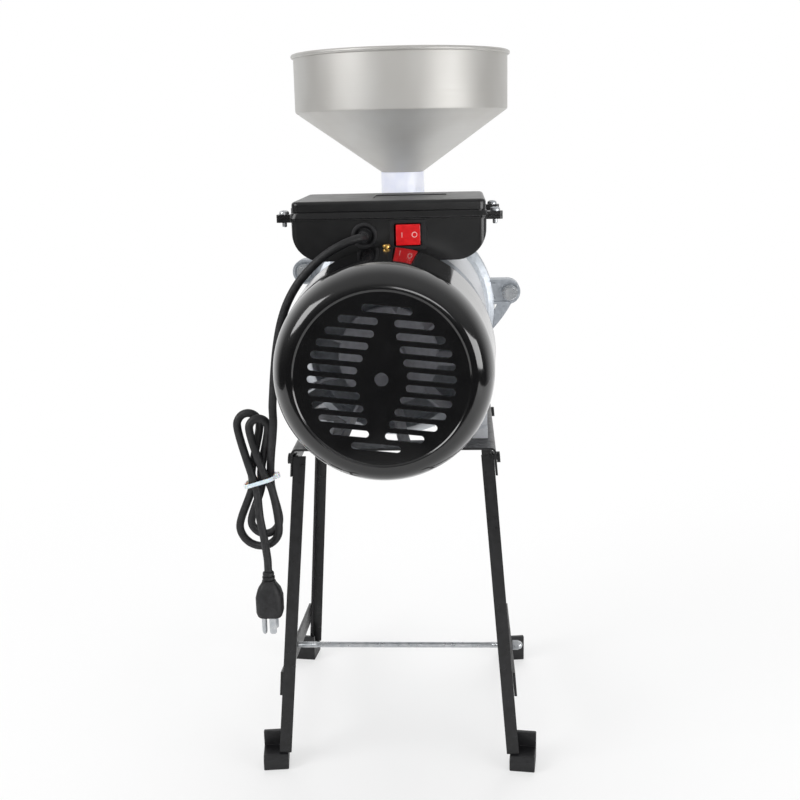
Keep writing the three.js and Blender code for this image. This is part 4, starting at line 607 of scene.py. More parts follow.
def mirrored(piece, name):
    """The same piece on the other side of the machine."""
    again = own_copy(name, piece)
    again.data.transform(Matrix.Scale(-1, 4, (1, 0, 0)))
    take(again)
    bpy.ops.object.mode_set(mode="EDIT")
    outward()
    return again


def node_copy(name, node):
    """A merged copy of a CAD node's mesh, its flat faces made whole."""
    piece = own_copy(name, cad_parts[node])
    take(piece)
    if piece.data.has_custom_normals:
        bpy.ops.mesh.customdata_custom_splitnormals_clear()
    bpy.ops.object.mode_set(mode="EDIT")
    bpy.ops.mesh.select_all(action="SELECT")
    bpy.ops.mesh.remove_doubles(threshold=TOUCH)
    bpy.ops.mesh.dissolve_limited(angle_limit=math.radians(FLAT_ANGLE))
    bpy.ops.object.mode_set(mode="OBJECT")
    return piece


print("copies ready")

# %% [markdown]
# No real edge is sharp. A few chosen edges get a round of their own, and a Bevel modifier eases
# the rest.

# %% Edges and finish
EDGE_ANGLE, EDGE_STEPS = 32, 2


def round_off(piece, radius, steps, wanted):
    """Bevels the edges that pass the test."""
    choose(piece, "EDGE", wanted)
    bpy.ops.mesh.bevel(offset=radius * MM, segments=steps, affect="EDGES")
    bpy.ops.object.mode_set(mode="OBJECT")


def ease_edges(piece, width_mm):
    modifier = piece.modifiers.new("ease", "BEVEL")
    modifier.width = width_mm * MM
    modifier.segments = EDGE_STEPS
    modifier.limit_method = "ANGLE"
    modifier.angle_limit = math.radians(EDGE_ANGLE)
    apply_modifier(piece, modifier)


def finish(piece, body, slot, look, *nodes, edge=0.0, smooth=EDGE_ANGLE):
    """Eases the edges, gives the piece its material and its body, and hides the nodes it replaces.
    """
    if edge:
        ease_edges(piece, edge)
    take(piece)
    bpy.ops.object.shade_smooth_by_angle(angle=math.radians(smooth))
    even = piece.modifiers.new("even_normals", "WEIGHTED_NORMAL")
    even.keep_sharp = True
    apply_modifier(piece, even)
    piece.data.materials.clear()
    piece.data.materials.append(look)
    if nodes:
        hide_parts(*nodes)
    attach(piece, body)
    print(piece.name, "on", body, len(piece.data.polygons), "faces")


print("tools ready")

# %% [markdown]
# ## The mains cord
# The cord is seen from end to end. It leaves the grommet, lies over the fan cover's shoulder,
# hangs down and is folded into a hank that a tie holds. Its route is a chain of points, first
# the lead and then the hank, strand after strand, with a bight between each two. Strands and
# bights are short tables, so one number moves a whole strand.

# %% The cord's route
CORD, CORD_LENGTH = 7.4, 0.903
CORD_EXIT = (-20.8, 115.7, 99.5)
LEAD_ROUTE = [
    CORD_EXIT, (-20.8, 109.5, 99.5), (-24, 102.6, 99.6), (-35.8, 98.4, 95.6),
    (-51, 97.2, 87.2), (-64.2, 97, 76), (-75.6, 97.4, 63.4), (-85.6, 98.6, 47), (-92.6, 100.6, 29),
    (-97.6, 103, 8), (-101.2, 106, -14), (-104, 109, -36), (-105.2, 110, -48), (-105.2, 110, -56),
]
HANK_LEAD = [(-105.2, 110, -56.3), (-105.2, 110, -62), (-106.6, 110.2, -76), (-109.6, 116.5, -92)]
HANK_Y, WAIST_X, WAIST_Z, WAIST_HALF, WAIST_LEAN = 126, -121.6, -119.5, 6.5, 3
COLUMN, LAYER = 8.4, 8.8
STRANDS = [(1.05, 0, 0), (0, 0, 0), (0.9, 1.04, 1), (-1.02, 0, 0), (-0.6, 1.04, 0.6)]
BIGHTS = [
    (-119.4, -158.5, 12.6, 13.2, 0, 0.5), (-120.2, -69, 8.2, 8.6, 0.7, 1.15),
    (-125, -164.5, 18.8, 18.4, 1, 0), (-130.6, -68, 10, 11, 0, 0.3),
]
BIGHT_STEPS = 6
TAIL = [(-121.6, -150), (-118.6, -172)]
PLUG_X, PLUG_Y, PLUG_TOP, PLUG_NECK = -117, 111, -214, 10
TAIL_END = PLUG_TOP + PLUG_NECK + 0.3


def hank_route():
    points = list(HANK_LEAD)
    for k, (column, layer, lean) in enumerate(STRANDS):
        x, y = WAIST_X + column * COLUMN, HANK_Y - layer * LAYER
        ends = [(x - lean * WAIST_LEAN, y, WAIST_Z + WAIST_HALF),
                (x + lean * WAIST_LEAN, y, WAIST_Z - WAIST_HALF)]
        points += ends if k % 2 == 0 else ends[::-1]
        if k == len(BIGHTS):
            continue
        bx, bz, half_x, half_z, layer_a, layer_b = BIGHTS[k]
        turn = -math.pi if k % 2 == 0 else math.pi
        for i in range(BIGHT_STEPS + 1):
            share = i / BIGHT_STEPS
            x, z = bx + half_x * math.cos(turn * share), bz + half_z * math.sin(turn * share)
            points.append((x, HANK_Y - (layer_a * (1 - share) + layer_b * share) * LAYER, z))
    points += [(x, HANK_Y - 2 * LAYER, z) for x, z in TAIL]
    points += [(PLUG_X, PLUG_Y, TAIL_END + rise) for rise in (CORD * 1.4, CORD / 2, 0)]
    return points


print("points on the cord", len(LEAD_ROUTE) + len(hank_route()))


# %% [markdown]
# The cord is one open curve, so it stays one unbroken length. Straight steps would show their
# corners, and a NURBS would miss the points, so each point gets its own Bezier handles. They
# come from its neighbours and the roots of their distances, which keeps the tight bights round.
# The curve's own bevel gives it its thickness.

# %% The cord as one curve
def with_handles(route):
    """Each point with the handles that make one smooth curve through all of them."""
    points = [spot(*p) for p in route]
    first, last = 2 * points[0] - points[1], 2 * points[-1] - points[-2]
    reach = [first, *points, last]
    pace = [math.sqrt((b - a).length) for a, b in zip(reach, reach[1:])]
    rows = []
    for i, point in enumerate(points):
        back, ahead = pace[i], pace[i + 1]
        slope = ((point - reach[i]) / back - (reach[i + 2] - reach[i]) / (back + ahead)
                 + (reach[i + 2] - point) / ahead)
        rows.append((point - slope * back / 3, point, point + slope * ahead / 3))
    return rows


cord_curve = bpy.data.curves.new("mains_cord", "CURVE")
cord_curve.dimensions = "3D"
cord_curve.bevel_depth = CORD / 2 * MM
cord_curve.bevel_resolution = 5
cord_curve.resolution_u = 10
cord_curve.use_fill_caps = True
cord_line = cord_curve.splines.new("BEZIER")
cord_rows = with_handles(LEAD_ROUTE) + with_handles(hank_route())
cord_line.bezier_points.add(len(cord_rows) - 1)
for bezier, (left, centre, right) in zip(cord_line.bezier_points, cord_rows):
    bezier.handle_left_type = bezier.handle_right_type = "FREE"
    bezier.handle_left, bezier.co, bezier.handle_right = left, centre, right
mains_cord = bpy.data.objects.new("mains_cord", cord_curve)
scene.collection.objects.link(mains_cord)
cord_curve.materials.append(rubber)
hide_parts("cord_lead", "cord_hank")
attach(mains_cord, "stand")
print("cord of", len(cord_rows), "points")

# %% [markdown]
# The plug is moulded round the end of the cord. Its body starts as a rounded rectangle and is
# pulled down level by level, each level a little wider or narrower, then the flat blades and
# the round ground pin are added below. A bevelled block would lack the soft waist that the
# levels give. A necked sleeve above takes the bend of the cord.

# %% The plug
PLUG_LEVELS = [(-0.5, 1.0), (-6, 1.62), (-7.5, 1.2), (-14.5, 1.0), (-4, 0.9), (-0.8, 0.94)]
PLUG_LONG = 33
PLUG_LOW = PLUG_TOP - PLUG_LONG
PIN_END, PIN_R, BLADE_APART, BLADE_THICK = PLUG_LOW - 19, 2.4, 6.35, 1.5


def loft(piece, facing, levels, centre):
    """Pulls the chosen end face on along z through (step, scale) levels."""
    choose(piece, "FACE", facing)
    for step, scale in levels:
        bpy.ops.mesh.extrude_region_move(TRANSFORM_OT_translate={"value": (0, 0, step * MM)})
        if scale != 1.0:
            bpy.ops.transform.resize(value=(scale, scale, 1), center_override=centre)
    bpy.ops.object.mode_set(mode="OBJECT")


def above_plug(*profile):
    """A profile whose places count from the plug's top."""
    return [(radius, PLUG_TOP + rise) for radius, rise in profile]


plug_start = rectangle(PLUG_X - 6.4, PLUG_X + 6.4, PLUG_Y - 5.2, PLUG_Y + 5.2)
plug = plate("mains_plug_moulding", plug_start, "Z", PLUG_TOP + 0.3, PLUG_TOP, corner=3.4)
loft(plug, lambda p, n: n.z < -0.9, PLUG_LEVELS, spot(PLUG_X, PLUG_Y, 0))
plug_sleeve = turned("plug_sleeve", above_plug(
    (0, -2), (6.2, -2), (6.2, 1.6), (4.7, 2.2), (4.7, 3.4), (5.9, 3.9), (5.7, 5.4), (4.5, 5.9),
    (4.5, 6.9), (5.4, 7.4), (5.1, 9.2), (4.3, PLUG_NECK), (0, PLUG_NECK),
), "Z", (PLUG_X, PLUG_Y), 40)
weld(plug, plug_sleeve)
finish(plug, "stand", "black_rubber", rubber, "mains_plug", edge=0.5)
blade = [(PLUG_X + x, PLUG_LOW + z) for x, z in (
    (-0.15, 1), (-0.15, -14.6), (1, -16), (5, -16), (6.15, -14.6), (6.15, 1))]
blades = [plate("plug_blade", blade, "Y", y - BLADE_THICK / 2, y + BLADE_THICK / 2)
          for y in (PLUG_Y - BLADE_APART, PLUG_Y + BLADE_APART)]
ground_pin = turned("ground_pin", [
    (0, PIN_END), (1.1, PIN_END + 0.2), (2, PIN_END + 1.4), (PIN_R, PIN_END + 3.4),
    (PIN_R, PLUG_LOW + 1), (0, PLUG_LOW + 1),
], "Z", (PLUG_X - 6, PLUG_Y), 24)
plug_pins = join(*blades, ground_pin)
plug_pins.name = "mains_plug_pins"
finish(plug_pins, "stand", "zinc", zinc, edge=0.2)

# %% [markdown]
# The cable tie is a strap of milky nylon drawn tight round the hank's waist. A rounded ring is
# drawn, given its width, and its square head with the strap's cut end is added on the right.

# %% The cable tie
TIE_TILT, STRAP, STRAP_HALF, HEAD_HALF = -17, 1.3, 1.8, 2.5
TIE_X, TIE_Y, TIE_CORNER, CORNER_STEPS = 13.7, 8.7, 4.3, 8
TIE_MIDDLE = (WAIST_X, HANK_Y - 0.5 * LAYER, WAIST_Z)


def tie_ring(name, grow, half):
    """A block round the hank's waist, grown on every side and reaching half up and half down."""
    x, y, middle = TIE_X + grow, TIE_Y + grow, TIE_MIDDLE[1]
    outline = rectangle(WAIST_X - x, WAIST_X + x, middle - y, middle + y)
    low, high = WAIST_Z - half, WAIST_Z + half
    return plate(name, outline, "Z", low, high, TIE_CORNER + grow, CORNER_STEPS)


tie = tie_ring("nylon_cable_tie", STRAP, STRAP_HALF)
carve(tie, tie_ring("tie_room", 0, 4))
head_x, head_y = WAIST_X + TIE_X, TIE_MIDDLE[1]
head_plan = rectangle(head_x + 0.5, head_x + 4.6, head_y - HEAD_HALF, head_y + HEAD_HALF)
weld(tie, plate("tie_head", head_plan, "Z", WAIST_Z - HEAD_HALF, WAIST_Z + HEAD_HALF))
turn_about(tie, TIE_MIDDLE, TIE_TILT)
finish(tie, "stand", "white_plastic", nylon, "cable_tie", edge=0.25)

# %% [markdown]
# A rubber grommet lines the hole in the switch box. It has a rolled ring with a sunk mouth, and
# a thin sleeve in the mouth hugs the cord, so that both bend evenly. All of it is round, so it
# is spun from one profile.

# %% The grommet
GROMMET_X, GROMMET_Z = -20.8, 99.5
grommet = turned("cord_grommet_sleeve", [
    (0, 116), (4.2, 116), (4.6, 116.8), (4.9, 121), (5.1, 127), (5.4, 131.4), (6.6, 131.4),
    (7.3, 130), (8, 128.9), (8.8, 128.4), (10.6, 128.5), (11.3, 129.2), (11.4, 131.2), (11, 131.7),
    (8, 131.7), (8, 134.9), (11.4, 134.9), (10.4, 137.9), (0, 137.9),
], "Y", (GROMMET_X, GROMMET_Z), 48)
finish(grommet, "stand", "black_rubber", rubber, "cord_grommet", edge=0.2)

# %% [markdown]
# ## Fan cover
# The cover is pressed from sheet: a flat face sunk inside a fine rim, a round shoulder and a
# skirt that flares a little to slip over the motor. A subdivided bowl would soften the fine rim,
# so the bowl is spun in one wall from its profile. Its flat face is then made one whole face,
# which lets the slots be punched without slivers.

# %% The pressed bowl
FACE_R, RIM_R, COVER_R, SKIRT_R = 69.2, 71.8, 89, 92
FACE_SUNK, SHOULDER, COVER_DEPTH, SHEET = 1.2, 33, 105, 1.5


def shoulder(inset, steps):
    rows = []
    for i in range(steps + 1):
        t = i / steps * math.pi / 2
        radius = RIM_R - inset + (COVER_R - RIM_R) * math.sin(t)
        rows.append((radius, inset + (SHOULDER - inset) * (1 - math.cos(t))))
    return rows


bowl_profile = [
    (0, FACE_SUNK), (FACE_R - 0.6, FACE_SUNK), (FACE_R, 1), (FACE_R + 0.5, 0.5), (FACE_R + 1, 0.1),
    (RIM_R - 1, 0), *shoulder(0, 16)[1:], (SKIRT_R - 0.2, COVER_DEPTH - 0.3),
    (SKIRT_R, COVER_DEPTH), (SKIRT_R - SHEET, COVER_DEPTH), *shoulder(SHEET, 12)[::-1],
    (FACE_R - SHEET, FACE_SUNK + SHEET), (0, FACE_SUNK + SHEET),
]
fan_cover = turned("enamelled_fan_cover", bowl_profile, sides=160)
for level, direction in ((FACE_SUNK, -1), (FACE_SUNK + SHEET, 1)):
    choose(fan_cover, "FACE", lambda p, n: abs(p.y - level) < 0.05 and n.y * direction > 0.99)
    bpy.ops.mesh.dissolve_faces()
bpy.ops.object.mode_set(mode="OBJECT")
print("bowl", len(fan_cover.data.polygons), "faces")

# %% [markdown]
# Twelve rows of slots cross the face, six degrees off level, and leave a lens of solid metal
# round the centre hole. Painted slots would hide the fan that turns behind them. So each slot is
# a bar with round ends, all the bars are joined into one tool, and one Boolean punches them.

# %% Air slots
SLOT_HALF, SLOT_PITCH, SLOT_ROWS, FIELD_R, HOLE_R = 2.9, 10, 12, 58.4, 5.4
SLOT_TURN, LENS_HALF, LENS_TAPER, LENS_LEAST = 6, 21.2, 0.36, 6.4


def slot_tool(u0, u1, v):
    tool = rod("slot_tool", SLOT_HALF, "Y", -3, 6, u0 + SLOT_HALF, v, 24)
    choose(tool, "VERT", lambda p, n: p.x > u0 + SLOT_HALF)
    bpy.ops.transform.translate(value=((u1 - u0 - 2 * SLOT_HALF) * MM, 0, 0))
    bpy.ops.object.mode_set(mode="OBJECT")
    return tool


slot_tools = []
for row in range(SLOT_ROWS):
    v = (row - (SLOT_ROWS - 1) / 2) * SLOT_PITCH
    outer = math.sqrt(FIELD_R**2 - v**2)
    inner = max(LENS_LEAST, LENS_HALF - LENS_TAPER * abs(v))
    spans = [(-outer, outer)] if row in (0, SLOT_ROWS - 1) else [(-outer, -inner), (inner, outer)]
    slot_tools += [slot_tool(u0, u1, v) for u0, u1 in spans]
slot_tools.append(rod("hole_tool", HOLE_R, "Y", -3, 6, sides=40))
punches = join(*slot_tools)
turn_about(punches, (0, 0, 0), SLOT_TURN)
carve(fan_cover, punches)
finish(fan_cover, "stand", "black_enamel", enamel, "fan_cover", edge=0.25)

# %% [markdown]
# A small brass screw on the skirt's crown earths the cover. Its pan head is spun, and a straight
# slot is cut across it.

# %% The earth screw
EARTH_Y, EARTH_Z = 100, 92.3
earth = turned("brass_earth_screw", [
    (0, EARTH_Z - 6), (2, EARTH_Z - 6), (2, EARTH_Z), (3.4, EARTH_Z), (3.4, EARTH_Z + 1.2),
    (3.1, EARTH_Z + 1.9), (2.3, EARTH_Z + 2.4), (0, EARTH_Z + 2.6),
], "Z", (0, EARTH_Y), 32)
driver_way = rectangle(-4, 4, EARTH_Y - 0.45, EARTH_Y + 0.45)
carve(earth, plate("screw_slot", driver_way, "Z", EARTH_Z + 1.4, EARTH_Z + 4))
finish(earth, "stand", "brass", brass, "earth_screw", edge=0.15)

# %% [markdown]
# Behind the slots turns a moulded fan: a disc with a boss on the shaft, and nine paddles round
# it. One paddle is a thin bar, swept into a gentle curve and leaned, and the rest are copies.

# %% The cooling fan
FAN_BLADES, FAN_NEAR, FAN_FAR, FAN_LEAN = 9, 72, 95, 14
fan = turned("moulded_cooling_fan", [
    (8.3, 80), (14.4, 80), (15, 80.6), (15, 90.2), (16.4, 91), (42.4, 91), (43, 91.6),
    (43, FAN_FAR), (8.3, FAN_FAR), (8.3, 80),
], sides=72)
paddle = plate("fan_paddle", [(41, -1.2), (54, -2.2), (67, -2.2), (79.4, -0.9), (79.4, 1.5),
                              (67, 0.4), (54, 0.4), (41, 1.2)], "Y", FAN_NEAR, FAN_FAR)
turn_about(paddle, (60, (FAN_NEAR + FAN_FAR) / 2, 0), FAN_LEAN, "X")
paddles = turned_copies(paddle, "fan_paddle", [360 * i / FAN_BLADES for i in range(FAN_BLADES)])
join(fan, *paddles)
finish(fan, "rotor", "fan_grey", fan_grey, "cooling_fan", edge=0.4)

# %% [markdown]
# ## Motor
# The motor's shell is a rolled steel tube in silver paint, on four pads that the tray's bolts
# hold. The tube is spun, and each pad is a plate with an upright web welded under the curve.

# %% The motor shell
SHELL_R, BORE_R, SHELL_NEAR, SHELL_FAR = 89, 84, 165, 325
SEAT, PAD_NEARS, PAD_LONG, PAD_THICK = -90, (152, 274), 32, 9
FOOT_BOLT_X, FOOT_BOLT_YS, BOLT_WAY = 69.5, (162.67, 290), 4.4
shell = turned("painted_motor_shell", [
    (BORE_R, SHELL_NEAR), (SHELL_R - 0.6, SHELL_NEAR), (SHELL_R, SHELL_NEAR + 0.6),
    (SHELL_R, SHELL_FAR - 0.6), (SHELL_R - 0.6, SHELL_FAR), (BORE_R, SHELL_FAR),
    (BORE_R, SHELL_NEAR),
], sides=128)
pads = []
for near in PAD_NEARS:
    far = near + PAD_LONG
    pads.append(plate("pad", rectangle(60, 86, near, far), "Z", SEAT, SEAT + PAD_THICK))
    web = rectangle(77.4, 86, max(near, SHELL_NEAR), far)
    pads.append(plate("pad_web", web, "Z", SEAT, -29.7))
pads = pads + [mirrored(pad, "pad_mirror") for pad in pads]
bore_room = rod("bore_room", BORE_R, "Y", 100, 400, sides=64)
weld(shell, *pads)
carve(shell, bore_room)
for x in (-FOOT_BOLT_X, FOOT_BOLT_X):
    for y in FOOT_BOLT_YS:
        carve(shell, rod("bolt_hole", BOLT_WAY, "Z", SEAT - 2, SEAT + 11, x, y, 24),
              rod("head_room", 7.2, "Z", SEAT + PAD_THICK, SEAT + 20, x, y, 24))
finish(shell, "stand", "silver_paint", silver, "motor_shell", edge=0.6)

# %% [markdown]
# The rear shield is the casting that carries the rear bearing. It is a cup that widens towards
# the shell, with a hub inside and three lugs for the fan cover. Light falls on it through the
# slots, so it is spun whole, and one lug is copied to its three places and welded on.

# %% The rear shield
shield = turned("cast_rear_shield", [
    (17.8, 111.7), (25.4, 111.7), (26, 112.3), (26, 123.3), (66, 123.3), (66, 112), (69.4, 112),
    (70, 112.6), (88.8, 164), (88.8, 164.7), (84, 164.7), (66, 127.3), (11.3, 127.3),
    (11.3, 123.3), (17.8, 123.3), (17.8, 111.7),
], sides=128)
LUG_ANGLES = (90, 210, 330)
shield_lug = plate("shield_lug", rectangle(66, SHELL_R + 0.6, -7, 7), "Y", 98, 126)
weld(shield, *turned_copies(shield_lug, "shield_lug_turned", [-angle for angle in LUG_ANGLES]))
carve(shield, rod("tapped", 2.4, "Z", 74, 92, 0, 100, 20))
finish(shield, "stand", "cast_aluminium", aluminium, "motor_rear_shield", edge=0.4)

# %% [markdown]
# Every bolt and nut is a hexagon whose corners are turned off at one end. A shank is a bar with
# small rings for its thread. Both can stand along y or along z, so two helpers draw them all.

# %% Bolts and nuts
def hex_head(name, axis, low, high, u, v, radius, crown="low"):
    """A hexagon between low and high, with its corners turned off at the crowned end."""
    head = plate(name, ring_of(6, radius, u, v), axis, low, high)
    drop, flat, reach = radius * 0.16, radius * 0.86, radius * 1.02
    if crown == "low":
        ends = [(0, low), (flat, low), (reach, low + drop), (reach, high), (0, high)]
    else:
        ends = [(0, low), (reach, low), (reach, high - drop), (flat, high), (0, high)]
    return carve(head, turned("turned_off", ends, axis, (u, v), 48), operation="INTERSECT")


def thread(name, axis, low, high, u, v, radius, pitch=1.6):
    """A threaded bar, whose thread is drawn as rings of the same pitch."""
    rows = [(0, low)]
    for i in range(int((high - low) / pitch)):
        rise = low + i * pitch
        rows += [(radius * 0.9, rise + 0.05), (radius, rise + pitch / 2)]
    rows += [(radius * 0.9, high - 0.1), (0, high)]
    return turned(name, rows, axis, (u, v), 24)


for side, hand in ((-1, "left"), (1, "right")):
    for y, place_name in zip(FOOT_BOLT_YS, ("near", "far")):
        x = side * FOOT_BOLT_X
        head = hex_head("bolt_head", "Z", SEAT + 9.3, SEAT + 14.7, x, y, 6.6, crown="high")
        nut = hex_head("bolt_nut", "Z", SEAT - 8.6, SEAT - 2.6, x, y, 6.6)
        shank = thread("bolt_thread", "Z", SEAT - 12.6, SEAT + 10, x, y, 4)
        bolt = join(head, nut, shank)
        bolt.name = f"pad_bolt_{place_name}_{hand}"
        finish(bolt, "stand", "zinc", zinc, f"motor_bolt_{place_name}_{hand}", edge=0.15)

# %% [markdown]
# ## Mill head
# The housing is cast in one: a ring against the motor, a waist, a broad flange, two ears that
# take the cover's bolts, and a square spout for the flour. An ear is a rounded plate with a sunk
# pocket that leaves a border, a boss round the bolt and an I-shaped rib. The boss and the rib
# are carved out of the pocket's tool first, so they stay on the ear when the tool cuts.

# %% The cast ears
EARS = {1: (113.6, 15.6), -1: (-106, 40.6)}
EAR_BOLTS = {1: (115.6, 14.6), -1: (-106, 40.6)}
EAR_HALF, EAR_THICK, EAR_BORDER, FLANGE_R, FLANGE_BACK, CHAMBER_R = 13.4, 11, 2.6, 99, 371.7, 80
RIB_HALF, BAR_HALF, EAR_BOSS_R = 8.2, 4, 9


def ear_plate(name, side, inset, low, high):
    """The rounded plate of an ear, from its root at the chamber to round its bolt."""
    x, z = EARS[side]
    half = EAR_HALF - inset
    root = side * (CHAMBER_R - inset)
    outline = rectangle(min(root, x) - half, max(root, x) + half, z - half, z + half)
    return plate(name, outline, "Y", low, high, half - 0.01, 8)


def ear_bolt_way(side, low, high):
    x, z = EAR_BOLTS[side]
    return rod("bolt_way", BOLT_WAY, "Y", low, high, x, z)


def cast_ear(side):
    z, rear = EARS[side][1], FLANGE_BACK - EAR_THICK
    bolt_x, bolt_z = EAR_BOLTS[side]
    ear = ear_plate("ear", side, 0, rear, FLANGE_BACK)
    pocket = ear_plate("pocket", side, EAR_BORDER, rear - 2, rear + EAR_BORDER)
    rib_x = side * (FLANGE_R - EAR_BORDER)
    i_shape = [rectangle(rib_x - 1, rib_x + 1, z - RIB_HALF, z + RIB_HALF)]
    i_shape += [rectangle(rib_x - BAR_HALF, rib_x + BAR_HALF, bar_z - 1, bar_z + 1)
                for bar_z in (z - RIB_HALF, z + RIB_HALF)]
    carve(pocket, rod("boss", EAR_BOSS_R, "Y", rear - 3, rear + 3, bolt_x, bolt_z),
          *[plate("rib", outline, "Y", rear - 3, rear + 3) for outline in i_shape])
    return carve(ear, pocket, ear_bolt_way(side, rear - 2, FLANGE_BACK + 2))


housing = turned("cast_mill_housing", [
    (23.3, 325.3), (88.5, 325.3), (89, 325.8), (89, 331.3), (85.4, 333.6), (85, 334.6), (85, 341.2),
    (86, 343.4), (92.15, 345), (92.4, 347.65), (92.15, 350.3), (88, 354), (89.4, 356.4), (97, 360),
    (98.6, 360.8), (FLANGE_R, 362), (FLANGE_R, 370.9), (98.2, FLANGE_BACK),
    (CHAMBER_R, FLANGE_BACK), (CHAMBER_R, 338), (12.6, 338), (12.6, 335.1), (23.3, 335.1),
    (23.3, 325.3),
], sides=144)
for side in (1, -1):
    ear = cast_ear(side)
    carve(ear, rod("chamber_room", CHAMBER_R + 0.5, "Y", 330, FLANGE_BACK + 2, sides=96))
    weld(housing, ear)
SPOUT_HALF, SPOUT_WAY, WAY_NEAR, WAY_FAR = 33, 29.4, 341, 368.1


def flour_way(low, high):
    """The square way that the flour falls through."""
    return plate("flour_way", rectangle(-SPOUT_WAY, SPOUT_WAY, low, high), "Y", WAY_NEAR, WAY_FAR)


spout = plate("spout", rectangle(-SPOUT_HALF, SPOUT_HALF, -128, -70), "Y", 337.4, 371.6)
carve(spout, flour_way(-130, -60), rod("spout_chamber", CHAMBER_R, "Y", 330, 376, sides=96))
weld(housing, spout)
carve(housing, flour_way(-100, -72))
finish(housing, "stand", "cast_aluminium", aluminium, "mill_housing", edge=0.7)

# %% [markdown]
# The front cover closes the milling chamber. It is cast with a long boss for the feed screw, six
# ribs, two ears and a neck for the feed tube. Its round parts are spun and the rest is plate. All
# of it is welded before the ways are carved, so throat and neck run clean through every part.

# %% The cover of the mill head
COVER_BACK, COVER_FACE, THROAT_R, FEED_Y, FRONT_RIBS = 372, 379.5, 26.6, 410, 6
front = turned("cast_front_cover", [
    (THROAT_R, COVER_BACK), (98.4, COVER_BACK), (FLANGE_R, 372.6), (FLANGE_R, 378.7),
    (98.2, COVER_FACE), (36.5, COVER_FACE), (34, 382), (34, 447), (33, 448), (15, 448), (15, 457.2),
    (14.2, 458), (6.3, 458), (6.3, 441), (THROAT_R, 441), (THROAT_R, COVER_BACK),
], sides=128)
rib = plate("rib", [(32, 374), (87.7, 374), (87.7, 379.6), (84, 381), (32, 420.6)], "Z", -2.5, 2.5)
rib_angles = [360 * (i + 0.5) / FRONT_RIBS for i in range(FRONT_RIBS)]
weld(front, *turned_copies(rib, "rib_turned", rib_angles))
for side in (1, -1):
    ear = ear_plate("cover_ear", side, 0, COVER_BACK, COVER_FACE)
    carve(ear, ear_bolt_way(side, 370, 382), rod("ear_room", 90, "Y", 370, 382, sides=96))
    weld(front, ear)
neck = turned("neck", [
    (0, 10), (25, 10), (25, 88), (28, 96), (28, 108.6), (27.6, 109), (0, 109),
], "Z", (0, FEED_Y), 96)
carve(neck, rod("throat_room", 30, "Y", 380, 440, sides=64))
weld(front, neck)
gate_way = rectangle(-21.5, 30, FEED_Y - 21.5, FEED_Y + 21.5)
carve(front, rod("throat_way", THROAT_R, "Y", 371, 441, sides=96),
      rod("neck_way", 19, "Z", 10, 111, 0, FEED_Y, 96),
      rod("cup_way", 23.9, "Z", 96, 111, 0, FEED_Y, 96),
      plate("gate_way", gate_way, "Z", 83.5, 86.5))

# %% [markdown]
# A curved arm runs from the right ear down to the cover's rim and stiffens it. Its outline has an
# outer and an inner curve, each drawn from three points, which is enough for a shape that bends
# one way only. It is plate like the ears, so both of its faces stay flat.

# %% The cover's curved stay
STAY_TOP, STAY_LOW, STAY_FOOT, STAY_FOOT_WIDTH = EARS[1][1], -32.16, 88.92, 7.2


def bend(a, b, c, steps=10):
    """Points on the soft curve from a to c that leans towards b."""
    shares = [i / steps for i in range(1, steps + 1)]
    return [tuple((1 - t) ** 2 * a[k] + 2 * t * (1 - t) * b[k] + t * t * c[k] for k in (0, 1))
            for t in shares]


stay_start, stay_end = (123.25, STAY_TOP), (STAY_FOOT, STAY_LOW - STAY_FOOT_WIDTH / 2)
stay_inner = (STAY_FOOT - STAY_FOOT_WIDTH, STAY_LOW + STAY_FOOT_WIDTH)
stay_outline = [stay_start, *bend(stay_start, (116.95, STAY_LOW / 4), stay_end), stay_inner,
                *bend(stay_inner, (104.03, STAY_LOW / 4), (106.9, STAY_TOP))]
stay = plate("stay", stay_outline, "Y", COVER_BACK, COVER_FACE)
carve(stay, rod("stay_way", 7.6, "Y", 370, 382, *EAR_BOLTS[1]))
weld(front, stay)
finish(front, "mill_cover", "cast_aluminium", aluminium, "front_cover", edge=0.6)

# %% [markdown]
# Two bolts join the cover to the housing through their ears. When the cover is pulled off, the
# bolts stay behind and the nuts come along, so a bolt with its washer is one piece on the stand
# and its nut is another piece on the cover.

# %% Ear bolts and nuts
for side, hand in ((1, "right"), (-1, "left")):
    x, z = EAR_BOLTS[side]
    face = FLANGE_BACK - EAR_THICK - 0.3
    washer = turned("washer", [
        (4, face - 1.5), (8.1, face - 1.5), (8.4, face - 1.2), (8.4, face), (4, face),
        (4, face - 1.5),
    ], "Y", (x, z), 48)
    head = hex_head("ear_head", "Y", face - 7.1, face - 1.5, x, z, 7.2)
    shank = thread("ear_thread", "Y", face - 2.5, face + 34, x, z, 4)
    ear_bolt = join(head, washer, shank)
    ear_bolt.name = f"ear_bolt_set_{hand}"
    finish(ear_bolt, "stand", "zinc", zinc, f"ear_bolt_{hand}", edge=0.15)
    nut = hex_head("cover_nut", "Y", 379.8, 386.8, x, z, 7.2)
    carve(nut, rod("nut_way", 4.3, "Y", 370, 390, x, z))
    nut.name = f"cover_nut_{hand}"
    finish(nut, "mill_cover", "zinc", zinc, f"ear_nut_{hand}", edge=0.15)

# %% [markdown]
# The grinding gap is set by a knob on the end of the cover. It is moulded with six lobes for the
# fingers, which are short discs welded round its grip, and a bevel runs them into each other.
# Its screw runs through the boss and a lock nut.

